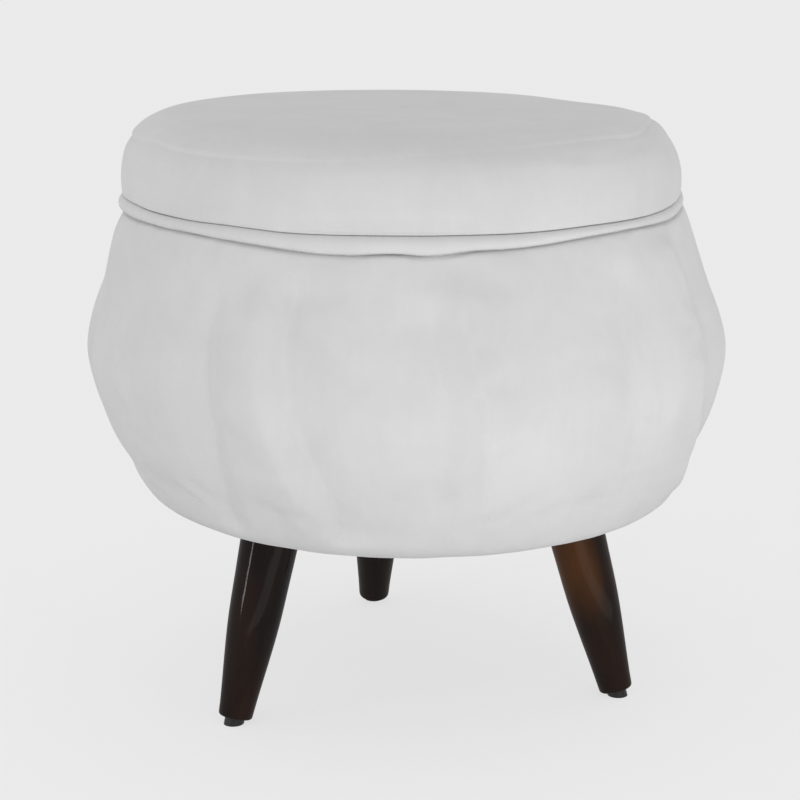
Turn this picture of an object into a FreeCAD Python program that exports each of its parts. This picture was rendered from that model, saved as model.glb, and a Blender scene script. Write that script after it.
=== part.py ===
import FreeCAD, Part
import math
import os
import Sketcher

# A round upholstered pouf: a fabric-covered drum with a hollow for storage stands on three
# splayed turned legs, and a padded lid lies loose on the drum's rim.
# Frame: origin on the floor under the centre, +Z up, back leg along +Y. Millimetres and degrees.

SIZES = {
    # Legs and their glides, measured along the leg's own axis from the floor
    "leg_splay_angle": 15.2,
    "leg_length": 143.13,
    "leg_foot_radius": 13.0,
    "leg_middle_radius": 19.4,
    "leg_top_radius": 22.0,
    "leg_foot_round": 2.5,
    "leg_top_round": 1.2,
    "glide_radius": 7.5,
    "glide_height": 5.0,
    "glide_nail_radius": 1.25,
    "glide_nail_length": 14.0,
    # Fixings between each leg and the drum's floor
    "bolt_radius": 4.0,
    "bolt_grip": 30.0,
    "bolt_reach": 7.0,
    "plate_inset": 40.75,
    "plate_side": 64.0,
    "plate_thickness": 2.5,
    "plate_corner_round": 8.0,
    "plate_gap": 0.4,
    "boss_radius": 12.0,
    "plate_screw_edge": 8.0,
    "plate_screw_bite": 10.5,
    "screw_radius": 2.0,
    "screw_head_radius": 4.0,
    "screw_head_height": 2.2,
    # Drum frame, from the hollow outwards and from the floor board up
    "storage_radius": 148.6,
    "lining_thickness": 2.4,
    "floor_lining_thickness": 1.5,
    "post_clearance": 0.3,
    "post_depth": 20.0,
    "post_width": 30.0,
    "post_length": 201.0,
    "board_thickness": 15.0,
    "wall_thickness": 3.2,
    "hoop_thickness": 15.0,
    "hoop_overhang": 27.0,
    "frame_screw_bite": 25.0,
    # Drum cover, outline of its outer side
    "cloth_thickness": 1.4,
    "dust_cover_thickness": 1.0,
    "dust_cover_overlap": 9.0,
    "hem_clearance": 1.0,
    "rim_padding": 11.4,
    "rim_curve": 21.0,
    "belly_bulge": 30.5,
    "belly_height_share": 0.55,
    "slope_curve_share": 0.78,
    "neck_proud": 3.8,
    # Upright folds pulled into the drum's cover
    "fold_depth": 5.6,
    "fold_round": 30.0,
    "fold_curve_share": 1.22,
    "fold_height_share": 0.5,
    "fold_sweep": 40.0,
    # Piping sewn round the drum's rim
    "piping_radius": 5.5,
    "piping_cord_radius": 4.0,
    "piping_drop": 0.6,
    "welt_thickness": 1.3,
    "welt_bite": 0.6,
    # Lid
    "lid_gap": 0.3,
    "lid_setback": 3.2,
    "lid_edge_padding": 11.1,
    "lid_board_thickness": 12.0,
    "foam_thickness": 30.0,
    "wadding_thickness": 18.5,
    "band_slope": 9.3,
    "shoulder_width": 25.1,
    "crown_drop": 2.4,
    "lid_hem_width": 30.0,
    "locator_thickness": 12.0,
    "locator_clearance": 2.8,
    "locator_lining_thickness": 0.8,
    "locator_screw_bite": 8.0,
    "locator_screw_inset": 25.0,
    # Staples of flat wire
    "staple_crown": 10.0,
    "staple_wire": 0.7,
    "staple_leg": 7.0,
    # Every cut passes its piece by this much
    "overrun": 4.0,
}

PLACES = {
    "splay_sine": "sin(Sizes.leg_splay_angle * 1 deg)",
    "splay_cosine": "cos(Sizes.leg_splay_angle * 1 deg)",
    "splay_tangent": "tan(Sizes.leg_splay_angle * 1 deg)",
    # Heights, floor to crown; leg_top is measured along the leg's axis
    "leg_top": "Sizes.glide_height + Sizes.leg_length",
    "plate_bottom": "leg_top * splay_cosine + Sizes.leg_top_radius * splay_sine + Sizes.plate_gap",
    "plate_top": "plate_bottom + Sizes.plate_thickness",
    "hem_bottom": "plate_top + Sizes.dust_cover_thickness",
    "board_bottom": "hem_bottom + Sizes.cloth_thickness",
    "board_top": "board_bottom + Sizes.board_thickness",
    "storage_floor": "board_top + Sizes.floor_lining_thickness",
    "hoop_bottom": "board_top + Sizes.post_length",
    "hoop_top": "hoop_bottom + Sizes.hoop_thickness",
    "rim_top": "hoop_top + Sizes.cloth_thickness",
    "piping_centre": "rim_top - Sizes.piping_drop - Sizes.piping_radius",
    "neck_top": "piping_centre - Sizes.piping_radius",
    "neck_bottom": "neck_top - Sizes.cloth_thickness",
    "lid_hem_bottom": "rim_top + Sizes.lid_gap",
    "lid_board_bottom": "lid_hem_bottom + Sizes.cloth_thickness",
    "lid_board_top": "lid_board_bottom + Sizes.lid_board_thickness",
    "foam_top": "lid_board_top + Sizes.foam_thickness",
    "wadding_top": "foam_top + Sizes.wadding_thickness",
    "crown": "wadding_top + Sizes.cloth_thickness",
    "locator_bottom": "lid_board_bottom - Sizes.locator_thickness",
    # Radii, from the middle outwards
    "lining_radius": "Sizes.storage_radius + Sizes.lining_thickness",
    "post_inner": "lining_radius + Sizes.post_clearance",
    "post_outer": "post_inner + Sizes.post_depth",
    "post_centre": "(post_inner + post_outer) / 2",
    "board_radius": "sqrt(post_outer ^ 2 + (Sizes.post_width / 2) ^ 2) + Sizes.post_clearance",
    "wall_radius": "board_radius + Sizes.wall_thickness",
    "plate_centre": "board_radius - Sizes.plate_inset",
    "plate_screw_half": "Sizes.plate_side / 2 - Sizes.plate_screw_edge",
    "plate_screw_far": "sqrt((plate_centre + plate_screw_half) ^ 2 + plate_screw_half ^ 2)",
    "foot_circle_radius": "plate_centre + plate_top * splay_tangent",
    "hem_inner": "plate_screw_far + Sizes.screw_head_radius + Sizes.hem_clearance",
    "dust_cover_radius": "hem_inner + Sizes.dust_cover_overlap",
    "hoop_inner": "Sizes.storage_radius + Sizes.cloth_thickness",
    "hoop_outer": "wall_radius + Sizes.hoop_overhang",
    "welt_outer": "hoop_outer + Sizes.welt_thickness",
    "piping_ring": "welt_outer + Sizes.piping_radius - Sizes.welt_bite",
    "neck_radius": "piping_ring + Sizes.neck_proud",
    "belly_radius": "neck_radius + Sizes.belly_bulge",
    # Drum outline: a rim arc from the flat underside, a belly arc that is upright at the
    # belly, a slope arc that is upright there too, and a straight slope up to the neck
    "belly": "hem_bottom + (neck_top - hem_bottom) * Sizes.belly_height_share",
    "rim_middle": "wall_radius + Sizes.rim_padding",
    "rim_out": "belly_radius - rim_middle",
    "rim_drop": "belly - hem_bottom - Sizes.rim_curve",
    "rim_excess": "rim_out ^ 2 + rim_drop ^ 2 - Sizes.rim_curve ^ 2",
    "belly_curve": "rim_excess / (2 * (rim_out - Sizes.rim_curve))",
    "belly_middle": "belly_radius - belly_curve",
    "curve_ratio": "belly_curve / (belly_curve - Sizes.rim_curve)",
    "rim_end_radius": "belly_middle + (rim_middle - belly_middle) * curve_ratio",
    "rim_end": "belly - rim_drop * curve_ratio",
    "neck_rise": "neck_top - belly",
    "slope_curve": "neck_rise * Sizes.slope_curve_share",
    "slope_middle": "belly_radius - slope_curve",
    "neck_run": "neck_radius - slope_middle",
    "neck_reach": "sqrt(neck_run ^ 2 + neck_rise ^ 2)",
    "slope_angle": "atan(neck_rise / neck_run) - acos(slope_curve / neck_reach)",
    "slope_start_radius": "slope_middle + slope_curve * cos(slope_angle)",
    "slope_start": "belly + slope_curve * sin(slope_angle)",
    # Folds: their height on the drum, and the arc along which their bottom runs
    "fold_height": "hem_bottom + (neck_top - hem_bottom) * Sizes.fold_height_share",
    "fold_curve": "belly_curve * Sizes.fold_curve_share",
    # Lid and staples
    "band_foot": "piping_ring + Sizes.piping_radius - Sizes.lid_setback",
    "band_seam": "band_foot - Sizes.band_slope",
    "crown_radius": "band_seam - Sizes.shoulder_width",
    "lid_board_radius": "band_foot - Sizes.lid_edge_padding",
    "lid_hem_inner": "lid_board_radius - Sizes.lid_hem_width",
    "locator_outer": "Sizes.storage_radius - Sizes.locator_clearance",
    "locator_radius": "locator_outer - Sizes.locator_lining_thickness",
    "locator_screw_ring": "locator_radius - Sizes.locator_screw_inset",
    "hem_staple_ring": "hem_inner + Sizes.dust_cover_overlap / 4",
    "dust_staple_ring": "dust_cover_radius - Sizes.dust_cover_overlap / 4",
    "lid_staple_ring": "lid_hem_inner + Sizes.lid_hem_width / 4",
}

# Where a free curve of an outline passes between its ends: along the radius, along the height
BAND_SHARES = (0.02, 0.5)
SHOULDER_SHARES = (0.31, 0.65)
LEG_MIDDLE_SHARE = 0.5

# Angles about the vertical axis, from +X towards +Y
LEG_ANGLES = {"back": 90, "front_left": 210, "front_right": 330}
POST_COUNT = 6
LOCATOR_SCREW_COUNT = 6
HEM_STAPLE_COUNT = 24
DUST_STAPLE_COUNT = 24
LID_STAPLE_COUNT = 30
FULL_TURN = 360
# The folds of the drum's cover by angle, each with its share of the full depth; those of the
# front lie from 199 to 328 degrees
FOLD_SHARES = {199: 0.65, 226.5: 0.9, 242: 1, 266: 0.9, 302: 0.7, 328: 0.9, 348: 0.75, 7: 0.95,
               23: 0.7, 42: 0.95, 60: 0.8, 77: 0.65, 96: 0.95, 113: 0.75, 131: 1, 149: 0.7,
               168: 0.9, 184: 0.7}

# Numbers by which a sketch knows its own axes and the points of a line or arc
X_AXIS = -1
Y_AXIS = -2
START = 1
END = 2
CENTRE = 3
POINT_TOLERANCE = 1e-6

document = FreeCAD.newDocument("Pouf")
nodes = []


def fill_sheet(name, entries, mark=""):
    """A spreadsheet with one named cell for each entry."""
    sheet = document.addObject("Spreadsheet::Sheet", name)
    for row, (alias, value) in enumerate(entries.items(), start=1):
        sheet.set(f"A{row}", alias)
        sheet.set(f"B{row}", f"{mark}{value}")
        sheet.setAlias(f"B{row}", alias)
    document.recompute()
    return sheet


def node(piece, label):
    """Names a finished sub-part and puts it on the list of files to write."""
    piece.Label = label
    nodes.append(piece)
    return piece


def between(start, end, share):
    """Expression for the value that lies a share of the way from start to end."""
    return f"({start}) + (({end}) - ({start})) * {share}"


def bend(start, end, shares):
    """The step of an outline that curves to end, through a point set by two shares."""
    via_x = between(start[0], end[0], shares[0])
    via_y = between(start[1], end[1], shares[1])
    return (end[0], end[1], "through", via_x, via_y)


def sweep(end, centre):
    """The step of an outline that curves to end about a centre, by under half a turn."""
    return (end[0], end[1], "about", centre[0], centre[1])


def pin(sketch, number, position, x, y=None):
    """Ties one point of a sketch to the sheet, or to an axis where its place is zero."""
    for kind, value, axis in (("DistanceX", x, Y_AXIS), ("DistanceY", y, X_AXIS)):
        if value is None:
            continue
        if value == "0":
            sketch.addConstraint(Sketcher.Constraint("PointOnObject", number, position, axis))
            continue
        length = float(sketch.evalExpression(value))
        tie = Sketcher.Constraint(kind, X_AXIS, START, number, position, length)
        index = sketch.addConstraint(tie)
        sketch.setExpression(f"Constraints[{index}]", value)


def spot(sketch, x, y):
    """The point that two expressions give, for a sketch's first shape."""
    return FreeCAD.Vector(float(sketch.evalExpression(x)), float(sketch.evalExpression(y)), 0)


def new_sketch(body, name, role, rise="0"):
    """An empty sketch on one of the body's origin planes, moved along the plane's normal."""
    sketch = body.newObject("Sketcher::SketchObject", name)
    plane = next(item for item in body.Origin.OriginFeatures if item.Role == role)
    sketch.AttachmentSupport = [(plane, "")]
    sketch.MapMode = "FlatFace"
    if rise != "0":
        sketch.setExpression("AttachmentOffset.Base.z", rise)
    document.recompute()
    return sketch


def add_arc(sketch, start, end, kind, x, y):
    """An arc between two points, through a third point or about a centre at radius x."""
    third = spot(sketch, x, y)
    if kind == "through":
        number = sketch.addGeometry(Part.Arc(start, third, end), False)
        via = sketch.addGeometry(Part.Point(third), True)
        pin(sketch, via, START, x, y)
        sketch.addConstraint(Sketcher.Constraint("PointOnObject", via, START, number))
        return number
    outward = (start + end) * 0.5 - third
    outward.normalize()
    middle = third + outward * (start - third).Length
    number = sketch.addGeometry(Part.Arc(start, middle, end), False)
    pin(sketch, number, CENTRE, x)
    return number


def add_outline(sketch, path):
    """One closed outline. A step (x, y) is the end of a straight edge, and a longer step
    is the end of an arc."""
    spots = [spot(sketch, step[0], step[1]) for step in path]
    edges = []
    for index, step in enumerate(path):
        start = spots[index - 1]
        end = spots[index]
        if len(step) == 2:
            number = sketch.addGeometry(Part.LineSegment(start, end), False)
        else:
            number = add_arc(sketch, start, end, *step[2:])
        forward = sketch.getPoint(number, START).isEqual(start, POINT_TOLERANCE)
        edges.append((number, START, END) if forward else (number, END, START))
        pin(sketch, number, edges[-1][2], step[0], step[1])
    for index, (number, head, _) in enumerate(edges):
        previous = edges[index - 1]
        tie = Sketcher.Constraint("Coincident", previous[0], previous[2], number, head)
        sketch.addConstraint(tie)


def add_circle(sketch, x, y, radius):
    """One circle with its centre and radius tied to the sheet."""
    size = float(sketch.evalExpression(radius))
    up = FreeCAD.Vector(0, 0, 1)
    number = sketch.addGeometry(Part.Circle(spot(sketch, x, y), up, size), False)
    pin(sketch, number, CENTRE, x, y)
    index = sketch.addConstraint(Sketcher.Constraint("Radius", number, size))
    sketch.setExpression(f"Constraints[{index}]", radius)


def add_revolution(body, sketch):
    """The sketch spun once round its own vertical axis."""
    feature = body.newObject("PartDesign::Revolution", f"{sketch.Name}_turned")
    feature.Profile = sketch
    feature.ReferenceAxis = (sketch, ["V_Axis"])
    feature.Angle = FULL_TURN
    document.recompute()
    return feature


def add_pad(body, sketch, length, downwards=False, taper="0"):
    """The sketch raised, or lowered, by a length."""
    feature = body.newObject("PartDesign::Pad", f"{sketch.Name}_pad")
    feature.Profile = sketch
    feature.setExpression("Length", length)
    feature.Reversed = downwards
    if taper != "0":
        feature.setExpression("TaperAngle", taper)
    document.recompute()
    return feature


def add_ring_of(body, features, count):
    """The features repeated round the vertical axis, all solids kept in one body."""
    pattern = body.newObject("PartDesign::PolarPattern", f"{body.Name}_ring")
    axis = next(item for item in body.Origin.OriginFeatures if item.Role == "Z_Axis")
    pattern.Originals = features
    pattern.Axis = (axis, [""])
    pattern.Angle = FULL_TURN
    pattern.Occurrences = count
    body.Tip = pattern
    document.recompute()
    return pattern


def new_body(name):
    """An empty body that may hold several separate solids."""
    body = document.addObject("PartDesign::Body", name)
    body.AllowCompound = True
    return body


def turned_body(name, path):
    """A round piece: one outline of radius and height, spun round the vertical axis."""
    body = new_body(name)
    sketch = new_sketch(body, f"{name}_outline", "XZ_Plane")
    add_outline(sketch, path)
    add_revolution(body, sketch)
    return body


def place(piece, x="0", y="0", z="0", yaw="0", pitch="0", roll="0"):
    """Ties a piece's placement to the sheet: turned by roll, pitch and yaw, then moved."""
    turn = f"rotation({yaw}; {pitch}; {roll})"
    piece.setExpression("Placement", f"placement(vector({x}; {y}; {z}); {turn})")


def cut_by(name, base, tools):
    """The base less the pieces that pass through it."""
    for count, tool in enumerate(tools, start=1):
        piece = document.addObject("Part::Cut", f"{name}_cut_{count}")
        piece.Base = base
        piece.Tool = tool
        base = piece
    document.recompute()
    return base


def ring_path(inner, outer, bottom, top):
    """Outline of a plain ring, or of a disc where the inner radius is zero."""
    return [(inner, bottom), (outer, bottom), (outer, top), (inner, top)]


def screw_body(name, spots, seat, length, downwards):
    """Countersunk screws: flush heads on the seat plane and shanks driven in from there."""
    body = new_body(name)
    shanks = new_sketch(body, f"{name}_shanks", "XY_Plane", seat)
    heads = new_sketch(body, f"{name}_heads", "XY_Plane", seat)
    for x, y in spots:
        add_circle(shanks, x, y, "Sizes.screw_radius")
        add_circle(heads, x, y, "Sizes.screw_head_radius")
    taper = "-atan((Sizes.screw_head_radius - Sizes.screw_radius) / Sizes.screw_head_height)"
    shank = add_pad(body, shanks, length, downwards)
    head = add_pad(body, heads, "Sizes.screw_head_height", downwards, taper)
    return body, [shank, head]


def staple_body(name, ring, seat, count):
    """A ring of staples whose crowns lie on the seat plane and whose legs point up."""
    body = new_body(name)
    sketch = new_sketch(body, f"{name}_wire", "YZ_Plane", f"{ring} - Sizes.staple_wire / 2")
    half = "Sizes.staple_crown / 2"
    inside = "(Sizes.staple_crown / 2 - Sizes.staple_wire)"
    tip = f"{seat} + Sizes.staple_leg"
    back = f"{seat} + Sizes.staple_wire"
    path = [(f"-{half}", seat), (half, seat), (half, tip), (inside, tip), (inside, back)]
    path += [(f"-{inside}", back), (f"-{inside}", tip), (f"-{half}", tip)]
    add_outline(sketch, path)
    wire = add_pad(body, sketch, "Sizes.staple_wire")
    add_ring_of(body, [wire], count)
    return body


def cover_path(inset):
    """Outer side of the drum's cover from the rim's start to the neck, or the same line
    drawn in by the cloth's thickness for what lies against the cover's inner side."""
    start = ("Places.rim_middle", f"Places.hem_bottom + {inset}")
    rim_share = f"(1 - {inset} / Places.belly_curve)"
    rim = (f"Places.belly_middle + (Places.rim_end_radius - Places.belly_middle) * {rim_share}",
           f"Places.belly + (Places.rim_end - Places.belly) * {rim_share}")
    belly = (f"Places.belly_radius - {inset}", "Places.belly")
    slope = (f"Places.slope_start_radius - {inset} * cos(Places.slope_angle)",
             f"Places.slope_start - {inset} * sin(Places.slope_angle)")
    top = "Places.neck_bottom" if inset != "0" else "Places.neck_top"
    lean = f"{inset} / cos(Places.slope_angle) - (Places.neck_top - {top}) * tan(Places.slope_angle)"
    neck = (f"Places.neck_radius - ({lean})", top)
    rim_centre = ("Places.rim_middle", "Places.hem_bottom + Sizes.rim_curve")
    belly_centre = ("Places.belly_middle", "Places.belly")
    slope_centre = ("Places.slope_middle", "Places.belly")
    return [start, sweep(rim, rim_centre), sweep(belly, belly_centre),
            sweep(slope, slope_centre), neck]


def reversed_path(path):
    """The same outline followed the other way, its arcs kept with their edges."""
    turned = [path[-1][:2]]
    for index in range(len(path) - 1, 0, -1):
        turned.append(path[index - 1][:2] + path[index][2:])
    return turned


def band_path(inset):
    """Outer side of the lid's side band from its foot to the seam, or drawn in."""
    foot = (f"Places.band_foot - {inset}", "Places.lid_board_bottom")
    seam = (f"Places.band_seam - {inset}", "Places.foam_top")
    return [foot, bend(foot, seam, BAND_SHARES)]


def crown_path(inset):
    """Outer side of the lid's top panel from the seam to the middle, or drawn in."""
    seam = (f"Places.band_seam - {inset}", "Places.foam_top")
    shoulder = ("Places.crown_radius", f"Places.crown - Sizes.crown_drop - {inset}")
    middle = ("0", f"Places.crown - {inset}")
    centre = ("0", "Places.crown - (Places.crown_radius ^ 2 / Sizes.crown_drop + Sizes.crown_drop) / 2")
    return [seam, bend(seam, shoulder, SHOULDER_SHARES), sweep(middle, centre)]


def make_glide(label, angle):
    """A moulded glide with its nail, square to the leg and trimmed level with the floor."""
    low = "-(Sizes.glide_radius * Places.splay_tangent + Sizes.overrun)"
    tip = "Sizes.glide_height + Sizes.glide_nail_length"
    path = [("0", low), ("Sizes.glide_radius", low), ("Sizes.glide_radius", "Sizes.glide_height")]
    path += [("Sizes.glide_nail_radius", "Sizes.glide_height"), ("Sizes.glide_nail_radius", tip)]
    path += [("0", tip)]
    body = turned_body(label, path)
    full = body.Shape.Volume
    reach = "(Sizes.glide_radius + Sizes.overrun)"
    rise = f"{reach} * Places.splay_tangent"
    deep = f"{low} - {rise}"
    sketch = new_sketch(body, f"{label}_floor", "XZ_Plane")
    add_outline(sketch, [(f"-{reach}", rise), (f"-{reach}", deep), (reach, deep), (reach, f"-{rise}")])
    trim = body.newObject("PartDesign::Pocket", f"{label}_trim")
    trim.Profile = sketch
    trim.SideType = "Symmetric"
    trim.setExpression("Length", f"2 * {reach}")
    document.recompute()
    if not body.Shape.Volume < full:
        raise RuntimeError(f"{label} is not trimmed")
    place_on_leg(body, angle)
    return node(body, label)


def place_on_leg(piece, angle, along="0"):
    """Puts a piece on the axis of the leg at an angle, some way up from the floor."""
    radius = f"(Places.foot_circle_radius - {along} * Places.splay_sine)"
    x = f"{radius} * cos({angle} deg)"
    y = f"{radius} * sin({angle} deg)"
    place(piece, x, y, f"{along} * Places.splay_cosine", f"{angle}", "-Sizes.leg_splay_angle")


def make_bolt(label, angle):
    """A hanger bolt on the leg's axis, half in the wood and half in the plate's boss."""
    bolt = document.addObject("Part::Cylinder", label)
    bolt.setExpression("Radius", "Sizes.bolt_radius")
    bolt.setExpression("Height", "Sizes.bolt_grip + Sizes.bolt_reach")
    place_on_leg(bolt, angle, "(Places.leg_top - Sizes.bolt_grip)")
    document.recompute()
    return node(bolt, label)


def make_leg(label, angle, glide, bolt):
    """A turned leg that swells towards its middle, bored for its bolt and glide nail."""
    foot = "Sizes.glide_height"
    flat_foot = ("Sizes.leg_foot_radius - Sizes.leg_foot_round", foot)
    round_foot = ("Sizes.leg_foot_radius", f"{foot} + Sizes.leg_foot_round")
    middle = ("Sizes.leg_middle_radius", between(foot, "Places.leg_top", LEG_MIDDLE_SHARE))
    shoulder = ("Sizes.leg_top_radius", "Places.leg_top - Sizes.leg_top_round")
    top = ("Sizes.leg_top_radius - Sizes.leg_top_round", "Places.leg_top")
    path = [("0", foot), flat_foot, sweep(round_foot, (flat_foot[0], round_foot[1]))]
    path += [shoulder + ("through",) + middle, sweep(top, (top[0], shoulder[1]))]
    path += [("0", "Places.leg_top")]
    body = turned_body(f"{label}_turning", path)
    place_on_leg(body, angle)
    return node(cut_by(label, body, [bolt, glide]), label)


def make_leg_plate(label, angle, bolt, screws):
    """A steel plate with rounded corners and a boss square to the splayed leg."""
    flange = new_body(f"{label}_flange")
    sketch = new_sketch(flange, f"{label}_square", "XY_Plane", "Places.plate_bottom")
    inner = "Places.plate_centre - Sizes.plate_side / 2"
    outer = "Places.plate_centre + Sizes.plate_side / 2"
    half = "Sizes.plate_side / 2"
    add_outline(sketch, [(inner, f"-{half}"), (outer, f"-{half}"), (outer, half), (inner, half)])
    sheet_metal = add_pad(flange, sketch, "Sizes.plate_thickness")
    upright = []
    for number, edge in enumerate(sheet_metal.Shape.Edges, start=1):
        direction = edge.tangentAt(edge.FirstParameter)
        if abs(direction.z) > math.cos(math.radians(45)):
            upright.append(f"Edge{number}")
    corners = flange.newObject("PartDesign::Fillet", f"{label}_corners")
    corners.Base = (sheet_metal, upright)
    corners.setExpression("Radius", "Sizes.plate_corner_round")
    flange.Tip = corners
    place(flange, yaw=f"{angle}")
    boss = document.addObject("Part::Cylinder", f"{label}_boss")
    boss.setExpression("Radius", "Sizes.boss_radius")
    span = "(Places.plate_top - Places.leg_top * Places.splay_cosine) / Places.splay_cosine"
    slant = "Sizes.boss_radius * Places.splay_tangent"
    boss.setExpression("Height", f"{span} + {slant} + Sizes.overrun")
    place_on_leg(boss, angle, "Places.leg_top")
    above = document.addObject("Part::Cylinder", f"{label}_above")
    above.setExpression("Radius", "Places.board_radius")
    above.setExpression("Height", "Sizes.boss_radius + Sizes.overrun * 2")
    place(above, z="Places.plate_top")
    level_boss = cut_by(f"{label}_level", boss, [above])
    whole = document.addObject("Part::Fuse", f"{label}_whole")
    whole.Base = flange
    whole.Tool = level_boss
    document.recompute()
    return node(cut_by(label, whole, [bolt, screws]), label)


def make_leg_fixings():
    """Three legs, each with its glide, bolt and plate, and the screws of all three plates."""
    half = "Places.plate_screw_half"
    near = f"Places.plate_centre - {half}"
    far = f"Places.plate_centre + {half}"
    length = "Places.board_bottom + Sizes.plate_screw_bite - Places.plate_bottom"
    spots = [(near, f"-{half}"), (near, half), (far, f"-{half}"), (far, half)]
    screws, features = screw_body("leg_plate_screws", spots, "Places.plate_bottom",
                                  length, False)
    add_ring_of(screws, features, len(LEG_ANGLES))
    place(screws, yaw=f"{LEG_ANGLES['back']}")
    node(screws, "leg_plate_screws")
    for side, angle in LEG_ANGLES.items():
        glide = make_glide(f"glide_{side}", angle)
        bolt = make_bolt(f"hanger_bolt_{side}", angle)
        make_leg(f"leg_{side}", angle, glide, bolt)
        make_leg_plate(f"leg_plate_{side}", angle, bolt, screws)
    return screws


def make_frame(plate_screws, dust_staples, hem_staples):
    """Floor board, six posts, hardboard wall and plywood hoop of the drum."""
    spots = [("Places.post_centre", "0")]
    low_length = "Sizes.board_thickness + Sizes.frame_screw_bite"
    low_screws, features = screw_body("frame_screws_bottom", spots, "Places.board_bottom",
                                      low_length, False)
    add_ring_of(low_screws, features, POST_COUNT)
    node(low_screws, "frame_screws_bottom")
    high_length = "Sizes.hoop_thickness + Sizes.frame_screw_bite"
    high_screws, features = screw_body("frame_screws_top", spots, "Places.hoop_top",
                                       high_length, True)
    add_ring_of(high_screws, features, POST_COUNT)
    node(high_screws, "frame_screws_top")
    board = turned_body("base_board_disc", ring_path("0", "Places.board_radius",
                                                     "Places.board_bottom", "Places.board_top"))
    node(cut_by("base_board", board, [plate_screws, low_screws, dust_staples, hem_staples]),
         "base_board")
    for count in range(POST_COUNT):
        post = new_body(f"post_{count + 1}_bar")
        sketch = new_sketch(post, f"post_{count + 1}_section", "XY_Plane", "Places.board_top")
        half = "Sizes.post_width / 2"
        add_outline(sketch, [("Places.post_inner", f"-{half}"), ("Places.post_outer", f"-{half}"),
                             ("Places.post_outer", half), ("Places.post_inner", half)])
        add_pad(post, sketch, "Sizes.post_length")
        place(post, yaw=f"{FULL_TURN * count / POST_COUNT}")
        label = f"post_{count + 1}"
        node(cut_by(label, post, [low_screws, high_screws]), label)
    wall = ring_path("Places.board_radius", "Places.wall_radius",
                     "Places.board_bottom", "Places.hoop_bottom")
    node(turned_body("drum_wall", wall), "drum_wall")
    hoop = turned_body("top_hoop_ring", ring_path("Places.hoop_inner", "Places.hoop_outer",
                                                  "Places.hoop_bottom", "Places.hoop_top"))
    node(cut_by("top_hoop", hoop, [high_screws]), "top_hoop")


def make_storage_lining():
    """Cloth on card round the hollow, its floor, and the cloth facing over the rim."""
    floor = ring_path("0", "Places.lining_radius", "Places.board_top", "Places.storage_floor")
    node(turned_body("storage_floor_lining", floor), "storage_floor_lining")
    tube = ring_path("Sizes.storage_radius", "Places.lining_radius",
                     "Places.storage_floor", "Places.hoop_bottom")
    node(turned_body("storage_wall_lining", tube), "storage_wall_lining")
    facing = [("Sizes.storage_radius", "Places.hoop_bottom"),
              ("Places.hoop_inner", "Places.hoop_bottom"), ("Places.hoop_inner", "Places.hoop_top"),
              ("Places.hoop_outer", "Places.hoop_top"), ("Places.hoop_outer", "Places.rim_top"),
              ("Sizes.storage_radius", "Places.rim_top")]
    node(turned_body("rim_facing", facing), "rim_facing")


def make_fold_rods(name, radius):
    """Bent upright rods that press into the drum from outside, one where each fold lies."""
    rods = []
    for number, (angle, share) in enumerate(FOLD_SHARES.items(), start=1):
        rod = document.addObject("Part::Torus", f"{name}_{number}")
        rod.setExpression("Radius1", "Places.fold_curve + Sizes.fold_round")
        rod.setExpression("Radius2", radius)
        rod.setExpression("Angle3", "Sizes.fold_sweep")
        middle = f"(Places.belly_radius - Sizes.fold_depth * {share} - Places.fold_curve)"
        x = f"{middle} * cos({angle} deg)"
        y = f"{middle} * sin({angle} deg)"
        place(rod, x, y, "Places.fold_height", f"{angle}", "Sizes.fold_sweep / 2", "90")
        rods.append(rod)
    whole = document.addObject("Part::MultiFuse", name)
    whole.Shapes = rods
    document.recompute()
    return whole


def make_drum_upholstery(plate_screws, dust_staples, hem_staples):
    """Padding round the frame, its cover with a turned-under hem, and the dust cover. The
    folds run through cover and padding alike, so that the cloth keeps its thickness."""
    frame_side = [("Places.hoop_outer", "Places.hoop_bottom"),
                  ("Places.wall_radius", "Places.hoop_bottom"),
                  ("Places.wall_radius", "Places.board_bottom")]
    padding = cover_path("Sizes.cloth_thickness") + [("Places.hoop_outer", "Places.neck_bottom")]
    padding_ring = turned_body("body_padding_ring", padding + frame_side)
    inner_rods = make_fold_rods("padding_folds", "Sizes.fold_round + Sizes.cloth_thickness")
    folded_padding = cut_by("body_padding", padding_ring, [inner_rods])
    node(folded_padding, "body_padding")
    filled = [("Places.hem_inner", "Places.hem_bottom")] + cover_path("0")
    filled += [("Places.hoop_outer", "Places.neck_top")] + frame_side
    filled += [("Places.hem_inner", "Places.board_bottom")]
    filled_cover = turned_body("filled_cover", filled)
    outer_rods = make_fold_rods("cover_folds", "Sizes.fold_round")
    cover = cut_by("body_cover", filled_cover,
                   [outer_rods, folded_padding, dust_staples, hem_staples])
    node(cover, "body_cover")
    dust = turned_body("dust_cover_disc", ring_path("0", "Places.dust_cover_radius",
                                                    "Places.plate_top", "Places.hem_bottom"))
    node(cut_by("dust_cover", dust, [plate_screws, dust_staples]), "dust_cover")


def make_piping():
    """A cord in a cloth tube whose flat welt lies against the hoop's edge."""
    cord = new_body("piping_cord")
    sketch = new_sketch(cord, "piping_cord_section", "XZ_Plane")
    add_circle(sketch, "Places.piping_ring", "Places.piping_centre", "Sizes.piping_cord_radius")
    add_revolution(cord, sketch)
    node(cord, "piping_cord")
    tube = new_body("piping_tube")
    sketch = new_sketch(tube, "piping_tube_section", "XZ_Plane")
    add_circle(sketch, "Places.piping_ring", "Places.piping_centre", "Sizes.piping_radius")
    add_revolution(tube, sketch)
    welt = turned_body("piping_welt", ring_path("Places.hoop_outer", "Places.welt_outer",
                                                "Places.neck_top", "Places.hoop_top"))
    whole = document.addObject("Part::Fuse", "piping_tube_and_welt")
    whole.Base = tube
    whole.Tool = welt
    document.recompute()
    node(cut_by("piping_cover", whole, [cord]), "piping_cover")


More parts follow.
